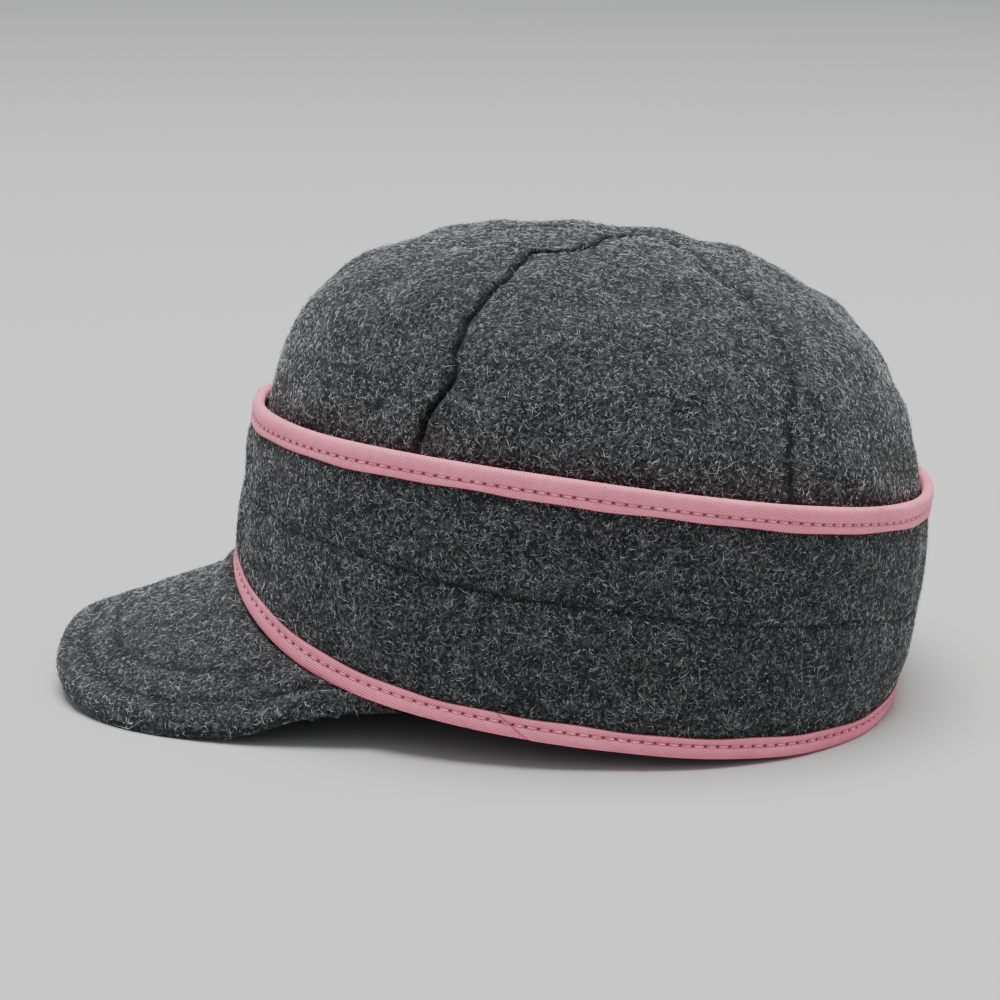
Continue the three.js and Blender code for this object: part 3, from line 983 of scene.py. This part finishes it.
# How far, in millimetres, the stitches draw the tape in, it puckers beside them, is full above them and
# wavers along the cap. Its lapped end stands out and fades into the rest over the given way.
STITCH_DRAWS = 0.42
TAPE_PUCKER = 0.07
TAPE_FULLNESS = 0.22
TAPE_UNEVENNESS = 0.12
LAP_RAISED = 0.4
LAP_FADES = (26, 12)

# How far its folded edge wanders, over which way, and where the wave starts
TAPE_WAVES = ((0.2, 11, 0), (0.14, 4.3, 1))

# Each tape: the edge that it is folded over, its height, and 1 where it points down from its edge
TAPES = {
    "top": (upper_edge, upper_tape, 1),
    "bottom": (lower_edge, lower_tape, -1),
}

# Places round the cap, and how many millimetres along a tape each of them is
TURNS = np.linspace(0, 360, 721)
RUN = np.concatenate([[0], np.cumsum(np.linalg.norm(np.diff(oval(TURNS, 0 * TURNS, 0), axis=0), axis=1))])


def tape_length(degrees):
    """Millimetres along a tape, for its stitches and its weave."""
    return np.interp(degrees, TURNS, RUN)


def stitch_step():
    """Millimetres from one stitch of a tape to the next, so that they close round the cap."""
    return RUN[-1] / round(RUN[-1] * MM / bpy.context.scene.cap_tape.pitch)


def tape_section(travel, height):
    """Inset and drop of a tape folded over an edge, for a share of the way from outside to inside."""
    radius = TAPE_WIDTH / 2
    straight = height - radius
    total = 2 * straight + math.pi * radius
    way = travel * total
    bend = np.clip((way - straight) / radius, 0, math.pi)
    inset = radius - radius * signed_power(np.cos(bend), TAPE_SQUARENESS)
    drop = radius - radius * np.clip(np.sin(bend), 0, 1) ** TAPE_SQUARENESS
    drop = drop + np.maximum(straight - way, 0) + np.maximum(way - straight - math.pi * radius, 0)
    return inset, drop, way, total


def tape_point(tape, degrees, travel):
    """Points of a tape's outer surface, drawn in along its stitches and lapped at its joint."""
    edge, height_at, direction = tape
    along = tape_length(degrees)
    height = height_at(degrees)
    wavy = sum((mm * np.sin(along / way + start) for mm, way, start in TAPE_WAVES), height)
    inset, drop, way, total = tape_section(travel, wavy)
    step = stitch_step()
    outside = travel < 0.5
    stitched = drop - STITCH_SHARE * height
    beat = 0.75 + 0.25 * np.cos(2 * math.pi * along / step)
    drawn = STITCH_DRAWS * beat * hump(stitched, 0.6)
    pucker = TAPE_PUCKER * np.sin(2 * math.pi * (along + 0.8 * stitched) / step) * hump(stitched, 2.2)
    full = TAPE_FULLNESS * hump(drop - 0.32 * height, 0.2 * height)
    slow = TAPE_UNEVENNESS * np.sin(along / 7 + 2 * np.sin(along / 37))
    rim = np.minimum(way, total - way)
    tucked = TAPE_CURL * ease(0.45, 0, rim)
    inward = drawn + pucker - full - slow + tucked
    if direction < 0:
        side = along - LAP_AT + LAP_SLANT * stitched
        inward = inward - LAP_RAISED * ease(-0.25, 0.25, side) * ease(*LAP_FADES, side)
    inset = np.where(outside, inset + inward, inset - inward)
    return band_point(degrees, edge(degrees) - direction * drop, inset), along, stitched, rim


def binding(name, tape, cotton):
    weave = []

    def place(u, v):
        point, along, stitched, rim = tape_point(tape, u * 360, v if tape[2] > 0 else 1 - v)
        weave.extend((along, stitched))
        return point, {"from_edge": rim, "lapped": np.full_like(rim, tape[2] < 0)}

    piece = add_cloth(name, TAPE_COLUMNS, TAPE_ROWS, place)
    corner = np.empty(len(piece.data.loops), int)
    piece.data.loops.foreach_get("vertex_index", corner)
    layer = piece.data.uv_layers.new(name="tape")
    layer.data.foreach_set("uv", np.stack(weave, -1)[corner].ravel())
    close_ring(piece)
    thicken(piece, TAPE_THICKNESS)
    finish_piece(piece, cotton, "binding", name)


# Visor

VISOR_COLUMNS = 220
VISOR_ROWS = 160
ROLL_FROM = 0.44
ROLL_TO = 0.56

# Half of the gap between the covers, and how far in the inner faces and the under cover's edge stop
COVER_GAP = 0.1
INNER_STOP = 0.5
UNDER_STOP = 0.35

# Each row of stitches: millimetres in from the visor's edge in front, how many more at its ends, and
# between which shares of the way to the ends it moves in
OUTER_ROW = (8.8, 4.6, 0.5, 0.85)
INNER_ROW = (17.2, 7.5, 0.2, 0.7)

# How strong the painted shade in their creases is, and how far and how wide they draw the cloth in
ROW_SHADE = 0.45
ROW_DRAWS = 0.5
ROW_WIDE = 0.9


def stitch_row(row, even):
    """How far in from the visor's edge a row of stitches runs."""
    front, more, start, stop = row
    return front + more * ease(start, stop, np.abs(even))


def row_depths(even):
    """How deep the visor's outer and inner rows of stitches are: they fade out towards its ends."""
    side = np.abs(even)
    return ease(0.95, 0.86, side), ease(0.8, 0.62, side)


def visor_section(even, travel, is_top):
    """Points of a cover: out along its flat side, round the visor's edge, and back along the other."""
    half = visor_thickness(column_at(even)) / 2
    across = visor_face(even, np.ones_like(even))[..., 3]
    roll = np.minimum(TOP_ROLL if is_top else UNDER_ROLL, 0.8 * across)
    bend = np.clip((travel - ROLL_FROM) / (ROLL_TO - ROLL_FROM), 0, 1) * math.pi / 2
    forth = travel / ROLL_FROM
    back = (1 - travel) / (1 - ROLL_TO)
    curl, sink = np.cos(bend), 1 - np.sin(bend)
    if is_top:
        out = np.where(forth < 1, (across - INNER_STOP) * forth, across - roll + roll * curl)
        out = np.where(back < 1, (across - roll) * back, out)
        depth = np.where(forth < 1, half - COVER_GAP, half * sink - COVER_GAP * curl)
        depth = np.where(back < 1, 0, depth)
    else:
        rolled = across - roll + (roll - UNDER_STOP) * (1 - sink)
        out = np.where(forth < 1, (across - roll) * forth, rolled)
        out = np.where(back < 1, (across - INNER_STOP) * back, out)
        depth = np.where(forth < 1, 2 * half, half + COVER_GAP + (half - COVER_GAP) * curl)
        depth = np.where(back < 1, half + COVER_GAP, depth)
    point = visor_face(even, out / across)[..., :3]
    on_face = travel > ROLL_TO if is_top else travel < ROLL_FROM
    inward = across - out
    from_rows = [inward - stitch_row(row, even) for row in (OUTER_ROW, INNER_ROW)]
    depths = row_depths(even)
    drawn = sum(deep * hump(away, ROW_WIDE) for deep, away in zip(depths, from_rows)) * on_face
    soft = ripple(point * VISOR_GRAIN, *VISOR_RIPPLE) * on_face * ease(0, 6, inward)
    point[:, 2] += (soft - ROW_DRAWS * drawn) * (1 if is_top else -1) - depth
    outer, inner = np.abs(from_rows)
    # The last value is how strong the painted shade in the stitch rows' creases is
    return point, np.minimum(outer, inner), np.where(outer < inner, *depths) * ROW_SHADE * on_face


def visor_cover(name, is_top, wool):
    def place(u, v):
        point, seam, depth = visor_section(2 * u - 1, v, is_top)
        return point, {"seam": seam, "seam_shade": depth, "beside_tape": np.full_like(u, FAR)}

    cover = add_cloth(name, VISOR_COLUMNS, VISOR_ROWS, place)
    close_ring(cover)
    in_edit_mode(cover, (bpy.ops.mesh.fill_holes, {"sides": 0}))
    finish_piece(cover, wool, "wool", name)


# Stitches

STITCH_SIDES = 6

# How high each point of a stitch lies, from one end to the other, in shares of its thread's radius
STITCH_RISE = np.array([-1.0, -0.15, 0.55, 0.8, 0.55, -0.15, -1.0])

# The radius of a thread and of the loose one, and the dark stitches' pitch, in millimetres
THREAD_RADIUS = 0.2
LOOSE_RADIUS = 0.12
DARK_PITCH = 3.2

# Which share of its pitch shows of a dark stitch, and between which shares a pink one shows
DARK_SHOWN = 0.8
PINK_SHOWN = (0.12, 0.88)

# How far to both sides of the front the visor's two rows of stitches run, in shares of its columns
OUTER_ENDS = 0.91
INNER_ENDS = 0.72

# A place inside the cap, in metres. Every stitch faces away from it.
INSIDE = np.array([0, 0, 0.05])


def tube_faces(rings, sides, count):
    """Faces of many closed tubes, each with its rings and a point at each end."""
    faces = []
    first, last = 0, rings * sides + 1
    for side in range(sides):
        after = (side + 1) % sides
        faces.append((first, 1 + after, 1 + side, -1))
        for ring in range(rings - 1):
            near, far = 1 + ring * sides, 1 + (ring + 1) * sides
            faces.append((near + side, near + after, far + after, far + side))
        end = 1 + (rings - 1) * sides
        faces.append((last, end + side, end + after, -1))
    each = rings * sides + 2
    pattern = np.array(faces)
    starts = np.arange(count)[:, None, None] * each
    return np.where(pattern >= 0, pattern + starts, -1).reshape(-1, 4)


def add_tubes(name, path, normal, radius, sides=STITCH_SIDES):
    """Many closed tapered tubes as one mesh. path is (count, rings + 2, 3), in metres."""
    count, length = path.shape[:2]
    rings = length - 2
    along = path[:, 2:] - path[:, :-2]
    along /= np.linalg.norm(along, axis=-1, keepdims=True)
    normal = np.broadcast_to(normal[:, None, :], along.shape)
    side = np.cross(normal, along)
    side /= np.linalg.norm(side, axis=-1, keepdims=True)
    up = np.cross(along, side)
    turn = np.arange(sides) * 2 * math.pi / sides + math.pi / 2
    radius = np.broadcast_to(radius, (count, rings))[:, :, None, None]
    ring = side[:, :, None] * np.cos(turn)[:, None] + up[:, :, None] * np.sin(turn)[:, None]
    ring = path[:, 1:-1, None] + ring * radius
    points = np.concatenate([path[:, :1], ring.reshape(count, rings * sides, 3), path[:, -1:]], axis=1)
    faces = tube_faces(rings, sides, count)
    sizes = np.where(faces[:, 3] < 0, 3, 4)
    corners = faces[faces >= 0]
    mesh = bpy.data.meshes.new(name)
    mesh.vertices.add(points.shape[0] * points.shape[1])
    mesh.vertices.foreach_set("co", points.ravel())
    mesh.loops.add(len(corners))
    mesh.loops.foreach_set("vertex_index", corners)
    mesh.polygons.add(len(sizes))
    mesh.polygons.foreach_set("loop_start", np.concatenate([[0], np.cumsum(sizes)[:-1]]))
    mesh.update(calc_edges=True)
    piece = bpy.data.objects.new(name, mesh)
    bpy.context.scene.collection.objects.link(piece)
    return piece


def even_spans(surface, places):
    """Where each of a line's equal dark stitches starts and stops."""
    steps = np.linalg.norm(np.diff(surface(places), axis=0), axis=1)
    run = np.concatenate([[0], np.cumsum(steps)])
    start = np.arange(int(run[-1] / DARK_PITCH)) * DARK_PITCH
    return np.interp(start, run, places), np.interp(start + DARK_SHOWN * DARK_PITCH, run, places)


def add_stitches(name, surface, spans, radius, material, slot):
    """Stitches on the cap. surface(place) gives level millimetres, and the spans are pairs of places."""
    start, stop = spans
    at = start[:, None] + (stop - start)[:, None] * np.linspace(0, 1, len(STITCH_RISE))
    path = on_table(surface(at.ravel())).reshape(len(start), -1, 3)
    up = outward_at(surface, at[:, 2], path[:, -1] - path[:, 0])
    path = path + up[:, None] * STITCH_RISE[:, None] * radius * MM
    finish_piece(add_tubes(name, path, up, radius * MM), material, slot)


def outward_at(surface, at, along):
    """The direction out of the cap, square to a line of stitches."""
    out = on_table(surface(at)) - INSIDE
    out -= along * (np.sum(out * along, 1) / np.sum(along * along, 1))[:, None]
    return out / np.linalg.norm(out, axis=1, keepdims=True)


def tape_line(tape, share):
    """A line along a tape at a share of its height down from its edge."""
    def surface(degrees):
        height = tape[1](degrees)
        return tape_point(tape, degrees, (1 - share) * height / tape_section(0, height)[3])[0]

    return surface


def visor_line(row):
    """A row of stitches on the visor's upper cover."""
    def surface(even):
        across = visor_face(even, np.ones_like(even))[..., 3]
        travel = 1 - (across - stitch_row(row, even)) / (across - TOP_ROLL) * (1 - ROLL_TO)
        return visor_section(even, travel, True)[0]

    return surface


def band_line(degrees):
    return band_face(degrees, middle_line(degrees))[0]


def loose_thread(share):
    """A stray end of thread that crosses the lower tape's lap."""
    degrees = np.interp(LAP_AT - 0.5 + 5 * share, RUN, TURNS)
    height = lower_tape(degrees)
    up = mix(0.5, 0.92, share) * height / tape_section(0, height)[3]
    point = tape_point(TAPES["bottom"], degrees, up)[0]
    point[:, 0] += 0.5 * np.sin(math.pi * share)
    return point


# Fibres

# How far from a seam with painted shade they thin out, in millimetres
SEAM_BARE = 1.6

# Some are longer than the others, and some stand off the cloth at one end. Heights are in millimetres.
LONG_SHARE = 0.03
LONGER = 2.2
STRAY_SHARE = 0.1
STRAY_HEIGHT = (0.3, 1.3)
USUAL_HEIGHT = (0.05, 0.32)
SUNK = 0.04

# The share of dark ones, and the tones of both kinds from 0 for dark to 1 for light
DARK_SHARE = 0.45
DARK_TONES = 0.4
LIGHT_TONES = (0.55, 1)

# How high in the frame the middle of the cap is, in metres
HEART_HEIGHT = 0.045

# Their first seed on the crown, the band and the visor
CROWN_SEED = 20
BAND_SEED = 30
VISOR_SEED = 40

# How much thinner they lie on each cover of the visor, and which way its face looks
VISOR_FIBRES = (("visor_top", 0.75, 1), ("visor_under", 0.4, -1))


def off_seams(carrier):
    """1 where fibres lie on a piece, falling to 0 where painted shade darkens its seams."""
    seam, depth = (np.empty(len(carrier.data.vertices)) for _ in range(2))
    carrier.data.attributes["seam"].data.foreach_get("value", seam)
    carrier.data.attributes["seam_shade"].data.foreach_get("value", depth)
    return 1 - np.clip(depth, 0, 1) * hump(seam, SEAM_BARE)


def faces_out(place, normal):
    """True for faces that look away from the middle of the cap."""
    heart = np.array([0, CENTRE[1] * MM, HEART_HEIGHT])
    return np.sum((place - heart) * normal, axis=1) > 0


def scatter_roots(carrier, per_square, rng, keep):
    """Random places on a piece's outer face, and the way out of the cloth at each of them."""
    mesh = carrier.data
    mesh.calc_loop_triangles()
    corner = np.empty(len(mesh.loop_triangles) * 3, int)
    mesh.loop_triangles.foreach_get("vertices", corner)
    points = read_points(carrier)
    a, b, c = (points[corner.reshape(-1, 3)[:, i]] for i in range(3))
    cross = np.cross(b - a, c - a)
    area = np.linalg.norm(cross, axis=1) / 2
    normal = cross / (2 * area[:, None] + 1e-18)
    area = area * keep((a + b + c) / 3, normal) * off_seams(carrier)[corner].reshape(-1, 3).min(1)
    count = int(per_square * area.sum() / MM**2)
    chosen = rng.choice(len(area), size=count, p=area / area.sum())
    first, second = rng.random((2, count, 1))
    over = first + second > 1
    first, second = np.where(over, 1 - first, first), np.where(over, 1 - second, second)
    return a[chosen] + first * (b - a)[chosen] + second * (c - a)[chosen], normal[chosen]


def scatter_fibres(node, name, per_square, seed, keep):
    """Curly wool fibres that lie on the outer face of a piece, with a few that stand off it."""
    look = bpy.context.scene.cap_wool
    rng = np.random.default_rng(seed)
    root, up = scatter_roots(MADE[node], per_square, rng, keep)
    each = (len(root), 1)
    along = np.cross(up, rng.normal(size=up.shape))
    along /= np.linalg.norm(along, axis=1, keepdims=True)
    side = np.cross(up, along)
    length = look.fibre_length * rng.lognormal(-0.1, 0.45, each)
    length = np.where(rng.random(each) < LONG_SHARE, length * LONGER, length)
    curl = length * rng.normal(0, 0.3, each)
    stray = rng.random(each) < STRAY_SHARE
    lift = np.where(stray, rng.uniform(*STRAY_HEIGHT, each), rng.uniform(*USUAL_HEIGHT, each)) * MM
    path = []
    for share in (0, 0.5, 1):
        bow = 4 * share * (1 - share)
        lifted = lift * np.where(stray, share, bow) - SUNK * MM
        path.append(root + along * length * (share - 0.5) + side * curl * bow + up * lifted)
    path = np.stack(path, 1)
    path[..., 2] = np.maximum(path[..., 2], look.fibre_width)
    width = look.fibre_width * rng.uniform(0.7, 1.25, each) / 2
    piece = add_tubes(name, path, up, width, 3)
    dark, dark_tone, light_tone = rng.random((3, len(root)))
    tone = np.where(dark < DARK_SHARE, dark_tone * DARK_TONES, mix(*LIGHT_TONES, light_tone))
    write_values(piece, {"tone": np.repeat(tone, len(piece.data.vertices) // len(root))})
    piece.data.materials.append(fibre_material())
    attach(piece, "root")


# Stage

LIGHT_AIM = (0, 0, 0.05)
OVERHEAD = {"place": (0, -0.1, 3.0), "size": 2.2}
SIDE_LIGHT = {"place": (-0.5, 1.3, 0.8), "size": 1.0}
SKY_COLOUR = (0.95, 0.97, 1, 1)


def add_light(name, light, power):
    """A soft round light turned to the cap."""
    deselect_all()
    bpy.ops.object.light_add(type="AREA", location=light["place"])
    lamp = bpy.context.object
    lamp.name = name
    lamp.data.shape = "DISK"
    lamp.data.size = light["size"]
    lamp.data.energy = power
    away = Vector(light["place"]) - Vector(LIGHT_AIM)
    lamp.rotation_euler = away.to_track_quat("Z", "Y").to_euler()


def add_floor(colour):
    deselect_all()
    bpy.ops.mesh.primitive_plane_add(size=12)
    floor = bpy.context.object
    floor.name = "floor"
    material, _, shader = new_material("pale floor", 0.8, 0.0)
    shader.inputs["Base Color"].default_value = (*colour, 1)
    floor.data.materials.append(material)


def add_sky(look):
    """Light from all round, stronger from the camera's side and the front."""
    world = bpy.data.worlds.new("studio")
    world.use_nodes = True
    tree = world.node_tree
    way = Wire(add_node(tree, "ShaderNodeTexCoord").outputs["Generated"])
    left, back, _ = wires(add_node(tree, "ShaderNodeSeparateXYZ", {0: way}))
    strength = remap(back * -0.5 + left, -0.2, 0.9, look.sky, look.sky * look.near_side)
    background = tree.nodes["Background"]
    background.inputs["Color"].default_value = SKY_COLOUR
    join(strength, background.inputs["Strength"])
    bpy.context.scene.world = world


def add_camera(lens):
    turn, tip = math.radians(CAMERA_AZIMUTH), math.radians(CAMERA_ELEVATION)
    away = Vector((math.sin(turn) * math.cos(tip), -math.cos(turn) * math.cos(tip), math.sin(tip)))
    bpy.ops.object.camera_add(location=Vector(CAMERA_AIM) + away * CAMERA_DISTANCE)
    camera = bpy.context.object
    camera.data.lens = lens
    camera.data.sensor_width = 36
    camera.data.clip_start = 0.01
    roll = Matrix.Rotation(math.radians(-CAMERA_ROLL), 3, "Z")
    camera.rotation_euler = (away.to_track_quat("Z", "Y").to_matrix() @ roll).to_euler()
    bpy.context.scene.camera = camera


# Operators

class CAP_OT_crown(bpy.types.Operator):
    """Makes the six wool panels of the crown"""
    bl_idname = "wool_cap.crown"
    bl_label = "Crown Panels"

    def execute(self, context):
        for index, name in enumerate(PANELS):
            crown_panel(name, SEAMS[index], SEAMS[(index + 1) % len(SEAMS)], wool_material())
        return {"FINISHED"}


class CAP_OT_band(bpy.types.Operator):
    """Makes the turned-up ear band"""
    bl_idname = "wool_cap.band"
    bl_label = "Ear Band"

    def execute(self, context):
        ear_band(wool_material())
        return {"FINISHED"}


class CAP_OT_bindings(bpy.types.Operator):
    """Makes the cotton tapes along both edges of the band"""
    bl_idname = "wool_cap.bindings"
    bl_label = "Tapes"

    def execute(self, context):
        cotton = cotton_material()
        for label, tape in TAPES.items():
            binding(f"band_{label}_binding", tape, cotton)
        return {"FINISHED"}


class CAP_OT_visor(bpy.types.Operator):
    """Makes the upper and the under cover of the visor"""
    bl_idname = "wool_cap.visor"
    bl_label = "Visor"

    def execute(self, context):
        visor_cover("visor_top", True, wool_material())
        visor_cover("visor_under", False, wool_material())
        return {"FINISHED"}


class CAP_OT_stitches(bpy.types.Operator):
    """Sews the tapes, the middle of the band and the visor"""
    bl_idname = "wool_cap.stitches"
    bl_label = "Stitches"

    def execute(self, context):
        look = context.scene.cap_tape
        pink = thread_material("pink thread", look.thread)
        dark = thread_material("dark thread", look.dark_thread)
        step = stitch_step()
        start = np.arange(round(RUN[-1] / step)) * step
        spans = [np.interp(start + share * step, RUN, TURNS) for share in PINK_SHOWN]
        for label, tape in TAPES.items():
            line = tape_line(tape, STITCH_SHARE)
            add_stitches(f"stitches_{label}_binding", line, spans, THREAD_RADIUS, pink, "binding")
        whole = (np.zeros(1), np.ones(1))
        add_stitches("loose_thread", loose_thread, whole, LOOSE_RADIUS, pink, "binding")
        lines = (
            ("band", band_line, np.linspace(0, 360, 2881)),
            ("visor_outer", visor_line(OUTER_ROW), np.linspace(-OUTER_ENDS, OUTER_ENDS, 801)),
            ("visor_inner", visor_line(INNER_ROW), np.linspace(-INNER_ENDS, INNER_ENDS, 801)),
        )
        for label, line, places in lines:
            spans = even_spans(line, places)
            add_stitches(f"stitches_{label}", line, spans, THREAD_RADIUS, dark, "wool")
        return {"FINISHED"}


class CAP_OT_fibres(bpy.types.Operator):
    """Lays curly fibres on the wool"""
    bl_idname = "wool_cap.fibres"
    bl_label = "Fibres"

    def execute(self, context):
        dense = context.scene.cap_wool.fibres
        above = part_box("band_top_binding")[0].z
        for seed, name in enumerate(PANELS):
            scatter_fibres(
                name, f"{name}_fibres", dense, CROWN_SEED + seed,
                lambda place, normal: faces_out(place, normal) * (place[:, 2] > above))
        for seed, (label, sign) in enumerate((("left", 1), ("right", -1))):
            scatter_fibres(
                "ear_band", f"ear_band_fibres_{label}", dense, BAND_SEED + seed,
                lambda place, normal: faces_out(place, normal) * (place[:, 0] * sign > 0))
        for seed, (name, share, sign) in enumerate(VISOR_FIBRES):
            scatter_fibres(
                name, f"{name}_fibres", dense * share, VISOR_SEED + seed,
                lambda place, normal: normal[:, 2] * sign > -0.3)
        return {"FINISHED"}


class CAP_OT_stage(bpy.types.Operator):
    """Makes the floor, the soft light and the camera"""
    bl_idname = "wool_cap.stage"
    bl_label = "Stage"

    def execute(self, context):
        look = context.scene.cap_stage
        add_floor(look.floor)
        add_light("overhead light", OVERHEAD, look.overhead)
        add_light("side light", SIDE_LIGHT, look.side)
        add_sky(look)
        add_camera(look.lens)
        return {"FINISHED"}


class CAP_PT_panel(bpy.types.Panel):
    """The cap's steps and looks, in the sidebar"""
    bl_idname = "CAP_PT_panel"
    bl_label = "Wool Cap"
    bl_space_type = "VIEW_3D"
    bl_region_type = "UI"
    bl_category = "Wool Cap"

    def draw(self, context):
        for step in STEPS:
            self.layout.operator(step.bl_idname)
        for group in ("cap_wool", "cap_tape", "cap_stage"):
            look = getattr(context.scene, group)
            for name in look.__annotations__:
                self.layout.prop(look, name)


STEPS = (
    CAP_OT_crown, CAP_OT_band, CAP_OT_bindings, CAP_OT_visor, CAP_OT_stitches, CAP_OT_fibres, CAP_OT_stage,
)
LOOKS = (("cap_wool", WoolLook), ("cap_tape", TapeLook), ("cap_stage", StageLook))


def register():
    for name, look in LOOKS:
        bpy.utils.register_class(look)
        setattr(bpy.types.Scene, name, bpy.props.PointerProperty(type=look))
    for step in STEPS:
        bpy.utils.register_class(step)
    bpy.utils.register_class(CAP_PT_panel)


def unregister():
    bpy.utils.unregister_class(CAP_PT_panel)
    for step in reversed(STEPS):
        bpy.utils.unregister_class(step)
    for name, look in reversed(LOOKS):
        delattr(bpy.types.Scene, name)
        bpy.utils.unregister_class(look)


def main():
    register()
    bpy.ops.wool_cap.crown()
    bpy.ops.wool_cap.band()
    bpy.ops.wool_cap.bindings()
    bpy.ops.wool_cap.visor()
    bpy.ops.wool_cap.stitches()
    bpy.ops.wool_cap.fibres()
    bpy.ops.wool_cap.stage()


if __name__ == "__main__":
    main()
